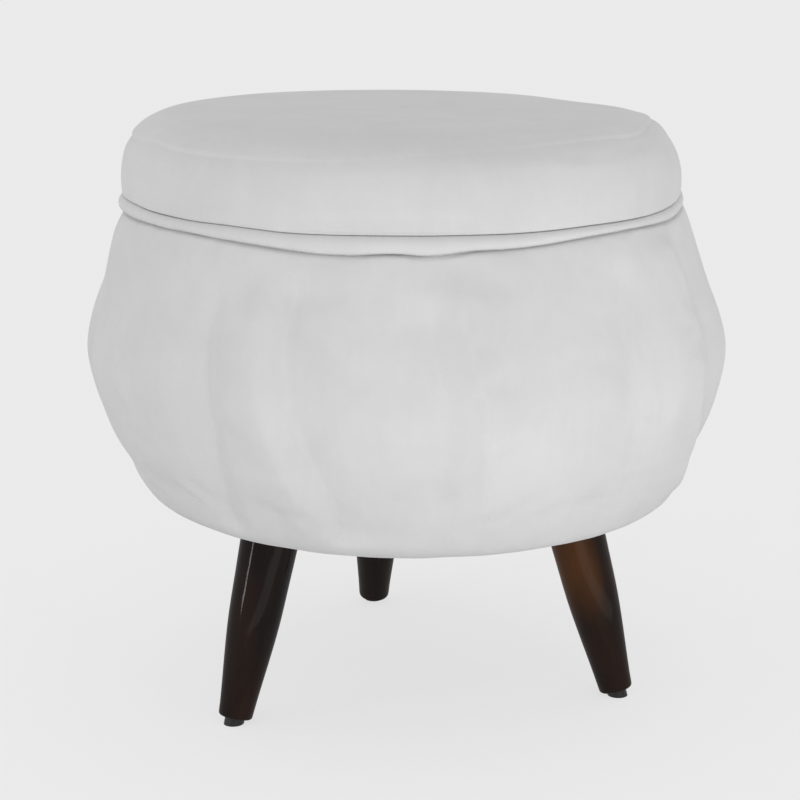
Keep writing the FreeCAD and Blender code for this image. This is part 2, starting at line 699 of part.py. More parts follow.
def make_lid():
    """Board, locating disc, foam, wadding and the sewn cover of the loose lid."""
    spots = [("Places.locator_screw_ring", "0")]
    length = "Sizes.locator_thickness + Sizes.locator_screw_bite"
    screws, features = screw_body("locator_screws", spots, "Places.locator_bottom",
                                  length, False)
    add_ring_of(screws, features, LOCATOR_SCREW_COUNT)
    node(screws, "locator_screws")
    staples = staple_body("lid_staples", "Places.lid_staple_ring", "Places.lid_hem_bottom",
                          LID_STAPLE_COUNT)
    node(staples, "lid_staples")
    board = turned_body("lid_board_disc", ring_path("0", "Places.lid_board_radius",
                                                    "Places.lid_board_bottom", "Places.lid_board_top"))
    node(cut_by("lid_board", board, [screws, staples]), "lid_board")
    locator = turned_body("lid_locator_disc", ring_path("0", "Places.locator_radius",
                                                        "Places.locator_bottom",
                                                        "Places.lid_board_bottom"))
    node(cut_by("lid_locator", locator, [screws]), "lid_locator")
    under = "Places.locator_bottom - Sizes.locator_lining_thickness"
    brim = "Places.lid_board_bottom - Sizes.locator_lining_thickness"
    lining = [("0", under), ("Places.locator_outer", under), ("Places.locator_outer", brim),
              ("Places.lid_hem_inner", brim), ("Places.lid_hem_inner", "Places.lid_board_bottom"),
              ("Places.locator_radius", "Places.lid_board_bottom"),
              ("Places.locator_radius", "Places.locator_bottom"), ("0", "Places.locator_bottom")]
    node(turned_body("lid_lining", lining), "lid_lining")
    inner_band = band_path("Sizes.cloth_thickness")
    foam = [("0", "Places.foam_top"), ("0", "Places.lid_board_top"),
            ("Places.lid_board_radius", "Places.lid_board_top"),
            ("Places.lid_board_radius", "Places.lid_board_bottom")] + inner_band
    node(turned_body("lid_foam", foam), "lid_foam")
    band = [("Places.lid_hem_inner", "Places.lid_hem_bottom"),
            ("Places.band_foot", "Places.lid_hem_bottom")] + band_path("0")
    band += reversed_path(inner_band) + [("Places.lid_hem_inner", "Places.lid_board_bottom")]
    band_body = turned_body("lid_side_band_cloth", band)
    node(cut_by("lid_side_band", band_body, [staples]), "lid_side_band")
    inner_crown = crown_path("Sizes.cloth_thickness")
    node(turned_body("lid_wadding", [("0", "Places.foam_top")] + inner_crown), "lid_wadding")
    node(turned_body("lid_top_panel", crown_path("0") + reversed_path(inner_crown)),
         "lid_top_panel")


def check_document():
    """Stops if any object failed, or any sub-part is not a sound solid."""
    document.recompute()
    for item in document.Objects:
        if "Invalid" in item.State or "Error" in item.State:
            raise RuntimeError(f"{item.Label} failed: {item.State}")
    for piece in nodes:
        shape = piece.Shape
        if shape.isNull() or not shape.isValid() or not shape.Solids:
            raise RuntimeError(f"{piece.Label} is not a sound solid")


def write_parts():
    """Writes each sub-part to a file that bears its name."""
    os.makedirs("parts", exist_ok=True)
    for piece in nodes:
        piece.Shape.exportStep(f"parts/{piece.Label}.step")
        print(piece.Label, len(piece.Shape.Solids), "solids", round(piece.Shape.Volume), "mm3")


fill_sheet("Sizes", SIZES)
fill_sheet("Places", PLACES, "=")
leg_screws = make_leg_fixings()
dust_ring = staple_body("dust_cover_staples", "Places.dust_staple_ring",
                        "Places.plate_top - Sizes.staple_wire", DUST_STAPLE_COUNT)
node(dust_ring, "dust_cover_staples")
hem_ring = staple_body("hem_staples", "Places.hem_staple_ring", "Places.hem_bottom",
                       HEM_STAPLE_COUNT)
node(hem_ring, "hem_staples")
make_frame(leg_screws, dust_ring, hem_ring)
make_storage_lining()
make_drum_upholstery(leg_screws, dust_ring, hem_ring)
make_piping()
make_lid()
check_document()
write_parts()
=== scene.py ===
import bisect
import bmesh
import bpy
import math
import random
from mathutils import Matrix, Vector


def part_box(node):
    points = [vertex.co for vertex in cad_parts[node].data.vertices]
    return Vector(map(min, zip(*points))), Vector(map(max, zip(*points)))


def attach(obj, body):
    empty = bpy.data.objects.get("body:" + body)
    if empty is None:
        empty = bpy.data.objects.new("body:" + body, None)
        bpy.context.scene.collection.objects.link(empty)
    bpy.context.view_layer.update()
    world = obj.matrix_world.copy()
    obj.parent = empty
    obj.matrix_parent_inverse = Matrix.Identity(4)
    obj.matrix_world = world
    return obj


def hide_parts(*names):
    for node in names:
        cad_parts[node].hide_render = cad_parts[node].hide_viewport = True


bl_info = {
    "name": "Round pouf on turned legs",
    "version": (1, 0, 0),
    "blender": (4, 5, 0),
    "location": "3D View > Sidebar > Pouf",
    "description": "Cover, cushion, piping, linings, legs and stage of a round storage pouf",
    "category": "Object",
}

from bpy.props import FloatProperty, FloatVectorProperty, PointerProperty
from bpy.types import Operator, Panel, PropertyGroup
from mathutils import Matrix, Vector, noise

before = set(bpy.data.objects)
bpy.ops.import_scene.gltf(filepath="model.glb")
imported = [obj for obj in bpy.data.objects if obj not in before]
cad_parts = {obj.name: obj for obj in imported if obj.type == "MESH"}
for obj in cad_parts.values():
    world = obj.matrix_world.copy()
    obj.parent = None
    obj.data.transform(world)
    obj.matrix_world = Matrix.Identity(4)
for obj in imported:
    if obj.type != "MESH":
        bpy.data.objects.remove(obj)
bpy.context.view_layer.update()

MM = 0.001
# The middle of the photographed side, in degrees about +Z from +X
FRONT = -100
LEG_ANGLES = {"back": 90, "front_left": 210, "front_right": 330}

# Folds of the drum's cover, as the photograph shows them between the seams. Each has its push
# (valleys below 0), how far it spreads to the left and to the right, how sharp it is (1 a
# crease, 2 a soft hollow), the lengths over which it dies out downwards and upwards, and its
# line of (height, angle to the right of the front). Millimetres and degrees.
FRONT_FOLDS = (
    (-3.0, 9, 8, 1.5, 24, 30, ((250, -60), (272, -62), (289, -62), (310, -61))),
    (-4.8, 22, 9, 1.15, 18, 40,
     ((180, -36), (220, -34.4), (251, -33.6), (285, -33.5), (312, -34.6))),
    (2.8, 20, 7, 1.6, 40, 30, ((205, -20), (227, -21), (264, -23), (297, -24.4), (329, -25))),
    (-6.2, 6, 34, 1.1, 14, 22,
     ((180, -13.8), (200, -14.3), (234, -17.3), (272, -19.6), (300, -21), (320, -21), (345, -20))),
    (-1.2, 12, 12, 2, 25, 25, ((240, -5.9), (292, -6.4))),
    (-4.8, 24, 11, 1.4, 30, 30, ((215, 5), (245, 6.2), (270, 6.6), (300, 5.6), (325, 4.5))),
    (3.2, 4, 26, 1.1, 40, 25,
     ((205, 12.4), (252, 12.2), (274, 11.9), (300, 10.9), (324, 9.7), (345, 8.3))),
    (-1.8, 20, 16, 2, 30, 40, ((200, 25), (260, 26), (310, 27))),
    (-3.6, 18, 12, 1.6, 25, 35, ((205, 44), (251, 42), (301, 40.5), (340, 43))),
    (3.6, 20, 5, 1.2, 15, 12, ((182, 66), (211, 64), (250, 60.5), (288, 60), (322, 61), (360, 60))),
    (-4.8, 10, 18, 1.5, 20, 15, ((190, 74), (230, 69), (280, 68), (330, 68), (362, 67))),
    (-1.3, 9, 7, 1.5, 20, 8, ((345, -42), (368, -47))),
    (-1.2, 8, 6, 1.5, 20, 8, ((345, -34), (368, -38))),
    (-1.1, 8, 6, 1.5, 20, 8, ((350, -28), (368, -32))),
    (-2.0, 9, 8, 1.3, 12, 25, ((162, 6.5), (176, 6.8), (190, 7))),
    (-1.6, 8, 10, 1.3, 12, 25, ((162, -26), (176, -25.5), (190, -25))),
    (-1.6, 9, 7, 1.3, 12, 25, ((162, 30), (176, 31), (190, 32))),
)

# Folds of the unseen half: their angle to the right of the front, and how deep they are
BACK_FOLDS = ((88, 4.2), (107, 5.3), (123, 3.9), (142, 5.3), (160, 4.5), (177, 3.6),
              (196, 5.3), (213, 4.2), (231, 5.6), (249, 3.9), (268, 5.0), (284, 3.9))

# The rim by the angle to the right of the front. How much higher than a level ring the lid's
# foot sits, and the seam under the piping; how far the piping reaches out from its middle, how
# far the drum is drawn in under it (millimetres), and how crumpled its tube is
RIM = ((-180, 0, 0, 5.4, 0, 0.04), (-125, 2.4, 1.4, 5.4, 1.6, 0.04),
       (-95, 3.4, 1.6, 5.5, 2.8, 0.03), (-86, 3.3, 3.0, 5.5, 2.4, 0.03),
       (-76, 3.8, 4.2, 5.4, 1.2, 0.04), (-66, 3.9, 4.6, 5.4, 0.4, 0.04),
       (-58, 2.7, 5.1, 5.3, 0, 0.05), (-50, 2.3, 4.7, 5.2, 0, 0.05),
       (-42, 1.9, 4.4, 5.0, 0, 0.05), (-35, 2.0, 3.0, 5.2, 0, 0.05),
       (-28, 1.2, 1.4, 5.5, 0, 0.04), (-22, 0.2, -0.4, 5.6, 0, 0.04),
       (-16, 0, -2.0, 5.7, 0, 0.03), (-10, 0, -2.4, 5.8, 0, 0.03), (-4, 0, -1.3, 5.6, 0, 0.03),
       (0, -0.1, -1.4, 5.6, 0, 0.03), (4, -0.3, -3.0, 5.8, 0, 0.03),
       (8, -0.4, -2.2, 5.6, 0, 0.04), (13, -0.7, -0.5, 5.5, 0, 0.03),
       (20, -1.2, -0.4, 5.4, 0, 0.04), (27, -1.3, 0.6, 5.2, 0, 0.04),
       (32, -1.1, 1.8, 5.0, 0, 0.05), (38, -0.9, 2.8, 4.8, 0, 0.06),
       (46, -1.3, 3.2, 4.6, 0, 0.08), (53, -1.6, 2.9, 4.5, 0, 0.1),
       (60, -1.5, 1.8, 4.5, 0, 0.12), (66, -1.0, 1.4, 4.5, 0, 0.13),
       (74, 0.2, 2.2, 4.4, 0, 0.13), (84, 1.8, 3.6, 4.4, 0.2, 0.12),
       (92, 2.4, 4.2, 4.4, 0.3, 0.1), (120, 1.6, 2.6, 5.0, 0.2, 0.05),
       (150, 0.5, 0.8, 5.4, 0, 0.04), (180, 0, 0, 5.4, 0, 0.04))

# The crease round the lid's top by the same angle: its height, and how much of it shows
CREASE = ((-180, 433, 0.8), (-95, 430.6, 1), (-71, 430.8, 1), (-62, 433.3, 1), (-54, 431.4, 1),
          (-45, 430.8, 0.75), (-30, 430.9, 0.35), (-12, 432.4, 0.14), (4, 436.8, 0.16),
          (22, 439, 0.2), (38, 441.2, 0.6), (50, 441.3, 1), (58, 440.1, 1), (66, 440.8, 1),
          (75, 442.4, 1), (100, 440.6, 1), (140, 436.8, 0.9), (180, 433, 0.8))

# Dents (below 0) and swells of the lid's cushion: angle, height, push, and how far each
# reaches along in degrees and up in millimetres
DENTS = ((61, 434.6, -1.5, 8, 3.2), (52, 434.2, -0.8, 7, 2.6), (37, 433.2, -1.3, 4, 3.0),
         (43, 430.2, -0.8, 6, 2.2), (29, 430, 0.7, 13, 4.5), (-37, 399.8, -0.9, 4, 1.5),
         (-39, 404, -0.8, 6, 4.5), (-55, 394, -0.7, 9, 8), (70, 412, 0.6, 9, 12),
         (-8, 437, -0.7, 9, 5), (12, 441, -0.6, 10, 4), (-25, 440, 0.6, 9, 4),
         (93, 440, 2.4, 24, 5), (124, 448, -1.6, 16, 3.5))


def linear(code):
    """sRGB hex to the linear values that a shader reads."""
    parts = [int(code[k:k + 2], 16) / 255 for k in (1, 3, 5)]
    return [c / 12.92 if c <= 0.04045 else ((c + 0.055) / 1.055) ** 2.4 for c in parts]


def eased(share):
    """0 to 1 with a soft start and end."""
    share = min(1.0, max(0.0, share))
    return share * share * (3 - 2 * share)


def length(name, description, default):
    return FloatProperty(name=name, description=description, default=default,
                         unit="LENGTH", subtype="DISTANCE", precision=4)


def colour(name, description, code):
    return FloatVectorProperty(name=name, description=description, default=linear(code),
                               subtype="COLOR", size=3, min=0, max=1)


def factor(name, description, default, most=1.0):
    return FloatProperty(name=name, description=description, default=default,
                         subtype="FACTOR", min=0, max=most)


# Settings


class CoverSettings(PropertyGroup):
    belly: length("Belly radius", "Widest radius of the drum's cover",
                  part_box("body_cover")[1].x)
    folds: factor("Depth of folds", "How deep the folds are before the padding softens them",
                  1.65, 3.0)
    puff: FloatProperty(name="Fill pressure", default=1.6, min=0, max=10,
                        description="How hard the padding presses the cover out")
    cap: length("Most movement", "How far the padding may move the cover", 0.0025)


class LidSettings(PropertyGroup):
    crown: length("Crown height", "Top of the lid's cushion above the floor",
                  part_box("lid_top_panel")[1].z)
    seam: length("Seam depth", "How far the seam between band and top draws in", 0.0016)
    lip: length("Seam lip", "How far the top panel's edge stands over the seam", 0.0008)
    puff: FloatProperty(name="Fill pressure", default=1.6, min=0, max=10,
                        description="How hard the foam presses the cushion's cover out")
    cap: length("Most movement", "How far the foam may move the cushion's cover", 0.002)


class TrimSettings(PropertyGroup):
    piping: length("Piping radius", "Radius of the corded piping round the rim", 0.0055)
    wave: length("Piping waviness", "How far the piping strays from a true ring", 0.0005)
    stitch: length("Stitch spacing", "From one stitch of the piping to the next", 0.0036)
    thread: length("Thread", "Thickness of the sewing thread", 0.00045)
    staple: length("Staple crown", "Length of a staple's crown", 0.010)
    wire: length("Staple wire", "Thickness of a staple's wire", 0.0008)


class LegSettings(PropertyGroup):
    splay: FloatProperty(name="Splay", description="Lean of each leg from upright",
                         default=math.radians(15.2), unit="ROTATION", subtype="ANGLE")
    foot_ring: length("Foot ring", "Radius of the ring that the feet stand on", 0.172699)
    foot: length("Foot radius", "Radius of the wood above the glide", 0.013)
    middle: length("Middle radius", "Radius half-way up the leg", 0.0194)
    top: length("Top radius", "Radius of the leg under its plate", 0.022)
    start: length("Glide height", "Height of the glide under the wood", 0.005)
    end: length("Leg top", "Top of the wood along the leg's own axis", 0.14813)


class FinishSettings(PropertyGroup):
    velvet_shade: colour("Velvet, pressed", "Cover where the pile lies down", "#D8D8D8")
    velvet_light: colour("Velvet, raised", "Cover where the pile stands up", "#DDDDDD")
    twill: colour("Lining", "Cotton twill of the linings", "#B9B5AE")
    dust: colour("Dust cover", "Non-woven cloth under the drum", "#1B1B1C")
    stain: colour("Leg stain", "Espresso stain where it is deepest", "#120B09")
    warm: colour("Leg, thin stain", "Stain where the wood shows a little", "#2B1A11")
    # Colour of the glow of light that is painted on one side of one leg
    painted_glow: colour("Leg, rubbed", "Stain where the wood glows through", "#5A3618")
    birch: colour("Plywood", "Face of the birch plywood", "#CDAE80")
    pine: colour("Pine", "Planed pine of the posts", "#D8B27C")


class StageSettings(PropertyGroup):
    azimuth: FloatProperty(name="Azimuth", description="Camera's bearing, 0 looks along +Y",
                           default=math.radians(-10), unit="ROTATION", subtype="ANGLE")
    pitch: FloatProperty(name="Pitch", description="How far the camera looks down",
                         default=math.radians(13.75), unit="ROTATION", subtype="ANGLE")
    roll: FloatProperty(name="Roll", description="Turn of the camera about its own axis",
                        default=math.radians(-0.35), unit="ROTATION", subtype="ANGLE")
    distance: length("Distance", "From the camera to the point that it looks at", 1.6045)
    aim_side: length("Aim to the side", "The point looked at, to the camera's right", -0.0056)
    aim_height: length("Aim height", "The point looked at, above the floor", 0.2227)
    lens: FloatProperty(name="Focal length", description="On a sensor 36 mm wide",
                        default=92.475, unit="CAMERA")
    key: FloatProperty(name="Key light", default=3.0, min=0,
                       description="Watts of the soft box on the front right")
    side: FloatProperty(name="Side light", default=2.9, min=0,
                        description="Watts of the soft box on the left")
    low: FloatProperty(name="Low light", default=2.6, min=0,
                       description="Watts of the panel that lies on the floor in front")
    fill: factor("Fill light", "Strength of the light from all round", 0.70, 2.0)
    backdrop: colour("Backdrop", "Colour of the background and the floor", "#EBEBEB")
    paper: colour("Floor", "The paper that throws light back up", "#E2E2E2")
    floor_grey: colour("Floor's shadow", "The grey that carries the shadow to the eye", "#7C7C7C")


# Materials


def add(tree, kind, inputs=None, stops=None, **settings):
    """Adds a node. inputs maps a socket to a value or to the output that feeds it, and stops
    are a ramp's places and colours."""
    node = tree.nodes.new(kind)
    for key, value in settings.items():
        setattr(node, key, value)
    for key, value in (inputs or {}).items():
        if isinstance(value, bpy.types.NodeSocket):
            tree.links.new(value, node.inputs[key])
        else:
            node.inputs[key].default_value = value
    for number, (place, value) in enumerate(stops or ()):
        ramp = node.color_ramp.elements
        stop = ramp[number] if number < 2 else ramp.new(place)
        stop.position, stop.color = place, (*value, 1)
    return node


def surface(name, shader):
    """A material of that name with one shader node, and where its patterns are placed."""
    material = bpy.data.materials.new(name)
    material.use_nodes = True
    tree = material.node_tree
    tree.nodes.clear()
    body = add(tree, "ShaderNodeBsdfPrincipled", shader)
    add(tree, "ShaderNodeOutputMaterial", {"Surface": body.outputs[0]})
    return material, tree, body, add(tree, "ShaderNodeTexCoord")


def pile_velvet(name, wrinkle):
    """Short-pile polyester velvet, woven and brushed: matt, pale, a little brighter at its
    edges where the pile is seen from the side, and blotched where hands have pressed it."""
    finish = bpy.context.scene.pouf_finish
    material, tree, body, coords = surface(name, {
        "Roughness": 0.92, "Specular IOR Level": 0.15, "IOR": 1.46,
        "Sheen Weight": 0.25, "Sheen Roughness": 0.5})
    place = coords.outputs["Object"]
    # Pressed patches are 40 to 90 mm across
    patch = add(tree, "ShaderNodeTexNoise", {"Vector": place, "Scale": 15, "Detail": 3,
                                             "Roughness": 0.55, "Distortion": 0.6})
    # Brushed streaks run down the cloth, 6 mm apart and some 60 mm long
    drawn = add(tree, "ShaderNodeMapping", {"Vector": place, "Scale": (1, 1, 0.1)})
    streak = add(tree, "ShaderNodeTexNoise", {"Vector": drawn.outputs[0], "Scale": 160,
                                              "Detail": 2, "Roughness": 0.5})
    both = add(tree, "ShaderNodeMath", {0: streak.outputs[0], 1: 0.28, 2: patch.outputs[0]},
               operation="MULTIPLY_ADD")
    tone = add(tree, "ShaderNodeValToRGB", {0: both.outputs[0]}, stops=(
        (0.46, finish.velvet_shade), (0.80, finish.velvet_light)))
    # The pile's tufts are 0.3 mm apart and are drawn 1.3 mm apart, or they don't show
    tuft = add(tree, "ShaderNodeTexNoise", {"Vector": place, "Scale": 760, "Detail": 2,
                                            "Roughness": 0.6})
    speckle = add(tree, "ShaderNodeMix", {0: 0.06, 6: tone.outputs[0], 7: tuft.outputs[0]},
                  data_type="RGBA", blend_type="OVERLAY")
    tree.links.new(speckle.outputs[2], body.inputs["Base Color"])
    low = add(tree, "ShaderNodeBump", {"Strength": 0.35, "Distance": 0.0003,
                                       "Height": tuft.outputs[0]})
    # Slack in the cloth, in soft dents 25 to 50 mm across
    slack = add(tree, "ShaderNodeTexNoise", {"Vector": place, "Scale": 26, "Detail": 1.5,
                                             "Roughness": 0.4, "Distortion": 0.4})
    high = add(tree, "ShaderNodeBump", {"Strength": wrinkle, "Distance": 0.004,
                                        "Height": slack.outputs[0],
                                        "Normal": low.outputs[0]})
    tree.links.new(high.outputs[0], body.inputs["Normal"])
    return material


def cotton_twill():
    """Plain cotton twill: matt, with fine slanting ribs 1.2 mm apart, drawn 1.6 mm apart."""
    finish = bpy.context.scene.pouf_finish
    material, tree, body, coords = surface("cotton_twill_lining", {
        "Roughness": 0.88, "Specular IOR Level": 0.2, "IOR": 1.5,
        "Sheen Weight": 0.1, "Sheen Roughness": 0.5})
    flat = coords.outputs["UV"]
    turned = add(tree, "ShaderNodeMapping", {"Vector": flat,
                                             "Rotation": (0, 0, math.radians(63))})
    rib = add(tree, "ShaderNodeTexWave", {"Vector": turned.outputs[0], "Scale": 31.25 * 3.2,
                                          "Distortion": 0.6, "Detail": 2, "Detail Scale": 3},
              wave_type="BANDS", bands_direction="X", wave_profile="SIN")
    yarn = add(tree, "ShaderNodeTexNoise", {"Vector": flat, "Scale": 900, "Detail": 2})
    wash = add(tree, "ShaderNodeTexNoise", {"Vector": flat, "Scale": 18, "Detail": 2})
    mixed = add(tree, "ShaderNodeMath", {0: rib.outputs[1], 1: 0.35, 2: wash.outputs[0]},
                operation="MULTIPLY_ADD")
    light = [min(1, c * 1.12) for c in finish.twill]
    tone = add(tree, "ShaderNodeValToRGB", {0: mixed.outputs[0]}, stops=(
        (0.3, [c * 0.84 for c in finish.twill]), (0.9, light)))
    tree.links.new(tone.outputs[0], body.inputs["Base Color"])
    height = add(tree, "ShaderNodeMath", {0: yarn.outputs[0], 1: 0.5, 2: rib.outputs[1]},
                 operation="MULTIPLY_ADD")
    relief = add(tree, "ShaderNodeBump", {"Strength": 0.5, "Distance": 0.0004,
                                          "Height": height.outputs[0]})
    tree.links.new(relief.outputs[0], body.inputs["Normal"])
    return material


def bonded_cloth():
    """Black spun-bonded polypropylene: matt felt with a close grid of pressed dots."""
    finish = bpy.context.scene.pouf_finish
    material, tree, body, coords = surface("spunbond_dust_cloth", {
        "Roughness": 0.8, "Specular IOR Level": 0.3, "IOR": 1.49})
    place = coords.outputs["Object"]
    # The dots are 1.5 mm apart and are drawn 2.5 mm apart
    dot = add(tree, "ShaderNodeTexVoronoi", {"Vector": place, "Scale": 400, "Randomness": 0.12},
              feature="F1")
    fibre = add(tree, "ShaderNodeTexNoise", {"Vector": place, "Scale": 700, "Detail": 3,
                                             "Distortion": 1.5})
    tone = add(tree, "ShaderNodeValToRGB", {0: fibre.outputs[0]}, stops=(
        (0.35, [c * 0.7 for c in finish.dust]), (0.7, [c * 1.9 for c in finish.dust])))
    tree.links.new(tone.outputs[0], body.inputs["Base Color"])
    pressed = add(tree, "ShaderNodeMapRange", {0: dot.outputs[0], 1: 0.15, 2: 0.45})
    creased = add(tree, "ShaderNodeTexNoise", {"Vector": place, "Scale": 30, "Detail": 3,
                                               "Distortion": 0.8})
    low = add(tree, "ShaderNodeBump", {"Strength": 0.4, "Distance": 0.0003,
                                       "Height": pressed.outputs[0]})
    high = add(tree, "ShaderNodeBump", {"Strength": 0.4, "Distance": 0.003,
                                        "Height": creased.outputs[0],
                                        "Normal": low.outputs[0]})
    tree.links.new(high.outputs[0], body.inputs["Normal"])
    return material


def lacquered_leg_wood():
    """Turned beech in espresso stain under gloss lacquer: nearly black brown, warmer where
    the stain is thin, fine long grain, and a clear coat that ripples a little."""
    finish = bpy.context.scene.pouf_finish
    material, tree, body, _ = surface("lacquered_espresso_beech", {
        "Roughness": 0.55, "Specular IOR Level": 0.03, "IOR": 1.5,
        "Coat Weight": 0.2, "Coat Roughness": 0.08, "Coat IOR": 1.5})
    place = add(tree, "ShaderNodeAttribute", attribute_name="place").outputs["Vector"]
    # Grain lines 1 mm apart run along the leg for 30 mm and more
    along = add(tree, "ShaderNodeMapping", {"Vector": place, "Scale": (1, 1, 0.035)})
    grain = add(tree, "ShaderNodeTexNoise", {"Vector": along.outputs[0], "Scale": 950,
                                             "Detail": 4, "Roughness": 0.6, "Distortion": 0.3})
    # The stain thins out in patches some 25 mm wide and 80 mm long
    spread = add(tree, "ShaderNodeMapping", {"Vector": place, "Scale": (1, 1, 0.3)})
    thin = add(tree, "ShaderNodeTexNoise", {"Vector": spread.outputs[0], "Scale": 34,
                                            "Detail": 2, "Distortion": 0.5})
    both = add(tree, "ShaderNodeMath", {0: grain.outputs[0], 1: 0.35, 2: thin.outputs[0]},
               operation="MULTIPLY_ADD")
    middle = [0.55 * a + 0.45 * b for a, b in zip(finish.stain, finish.warm)]
    tone = add(tree, "ShaderNodeValToRGB", {0: both.outputs[0]}, stops=(
        (0.52, finish.stain), (0.95, finish.warm), (0.72, middle)))
    # A glow of light is painted on one side of one leg, more on the ridges of its grain
    painted_glow = add(tree, "ShaderNodeAttribute", attribute_name="painted_glow").outputs["Fac"]
    patchy = add(tree, "ShaderNodeMapRange",
                 {0: both.outputs[0], 1: 0.35, 2: 0.85, 3: 0.55, 4: 1.0})
    amount = add(tree, "ShaderNodeMath", {0: painted_glow, 1: patchy.outputs[0]}, operation="MULTIPLY")
    glow = add(tree, "ShaderNodeMix", {0: amount.outputs[0], 6: tone.outputs[0],
                                       7: (*finish.painted_glow, 1)}, data_type="RGBA")
    tree.links.new(glow.outputs[2], body.inputs["Base Color"])
    pores = add(tree, "ShaderNodeBump", {"Strength": 0.12, "Distance": 0.0002,
                                         "Height": grain.outputs[0]})
    tree.links.new(pores.outputs[0], body.inputs["Normal"])
    ripple = add(tree, "ShaderNodeTexNoise", {"Vector": spread.outputs[0], "Scale": 120,
                                              "Detail": 2, "Roughness": 0.5})
    coat = add(tree, "ShaderNodeBump", {"Strength": 0.3, "Distance": 0.0006,
                                        "Height": ripple.outputs[0]})
    tree.links.new(coat.outputs[0], body.inputs["Coat Normal"])
    return material


def sawn_wood(name, light, dark, stretch, pitch, ply):
    """Bare sanded wood: matt, with grain stretched along one axis. ply is the thickness of a
    veneer, which shows as bands on a board's edge, or 0 for solid wood."""
    material, tree, body, coords = surface(name, {
        "Roughness": 0.62, "Specular IOR Level": 0.35, "IOR": 1.5})
    place = coords.outputs["Object"]
    drawn = add(tree, "ShaderNodeMapping", {"Vector": place, "Scale": stretch})
    figure = add(tree, "ShaderNodeTexWave", {"Vector": drawn.outputs[0], "Scale": pitch,
                                             "Distortion": 9, "Detail": 3, "Detail Scale": 0.8},
                 wave_type="RINGS", rings_direction="Z")
    fibre = add(tree, "ShaderNodeTexNoise", {"Vector": drawn.outputs[0], "Scale": 1200,
                                             "Detail": 3})
    value = add(tree, "ShaderNodeMath", {0: fibre.outputs[0], 1: 0.5, 2: figure.outputs[1]},
                operation="MULTIPLY_ADD")
    level = add(tree, "ShaderNodeMath", {0: value.outputs[0], 1: 0.667}, operation="MULTIPLY")
    tone = add(tree, "ShaderNodeValToRGB", {0: level.outputs[0]}, stops=(
        (0.13, light), (0.87, dark)))
    result = tone.outputs[0]
    if ply:
        band = add(tree, "ShaderNodeTexWave", {"Vector": place, "Scale": 0.314 / ply / 2,
                                               "Distortion": 0.2},
                   wave_type="BANDS", bands_direction="Z")
        edge = add(tree, "ShaderNodeMix", {6: result, 7: (*dark, 1)},
                   data_type="RGBA", blend_type="MIX")
        side = add(tree, "ShaderNodeNewGeometry")
        upright = add(tree, "ShaderNodeVectorMath", {0: side.outputs["Normal"],
                                                     1: (0, 0, 1)}, operation="DOT_PRODUCT")
        flat = add(tree, "ShaderNodeMath", {0: upright.outputs["Value"]}, operation="ABSOLUTE")
        share = add(tree, "ShaderNodeMath", {0: 1.0, 1: flat.outputs[0]}, operation="SUBTRACT")
        amount = add(tree, "ShaderNodeMath", {0: share.outputs[0], 1: band.outputs[1]},
                     operation="MULTIPLY")
        tree.links.new(amount.outputs[0], edge.inputs[0])
        result = edge.outputs[2]
    tree.links.new(result, body.inputs["Base Color"])
    relief = add(tree, "ShaderNodeBump", {"Strength": 0.25, "Distance": 0.0003,
                                          "Height": value.outputs[0]})
    tree.links.new(relief.outputs[0], body.inputs["Normal"])
    return material


def metal_or_plastic(name, code, metallic, rough, grit, relief_height, level=0.5):
    """A hard finish with a fine even grit in its gloss: powder coat, zinc plate or nylon."""
    material, tree, body, coords = surface(name, {
        "Metallic": metallic, "Roughness": rough, "Specular IOR Level": level})
    place = coords.outputs["Object"]
    speck = add(tree, "ShaderNodeTexNoise", {"Vector": place, "Scale": 1 / grit, "Detail": 3})
    wear_and_painted_glow = add(tree, "ShaderNodeTexNoise", {"Vector": place, "Scale": 60, "Detail": 2})
    base = linear(code)
    tone = add(tree, "ShaderNodeValToRGB", {0: wear_and_painted_glow.outputs[0]}, stops=(
        (0.3, [c * 0.85 for c in base]), (0.75, [min(1, c * 1.15) for c in base])))
    tree.links.new(tone.outputs[0], body.inputs["Base Color"])
    gloss = add(tree, "ShaderNodeMapRange", {0: speck.outputs[0], 1: 0.2, 2: 0.8,
                                             3: rough * 0.75, 4: min(1, rough * 1.3)})
    tree.links.new(gloss.outputs[0], body.inputs["Roughness"])
    relief = add(tree, "ShaderNodeBump", {"Strength": 0.5, "Distance": relief_height,
                                          "Height": speck.outputs[0]})
    tree.links.new(relief.outputs[0], body.inputs["Normal"])
    return material


MATERIALS = {}


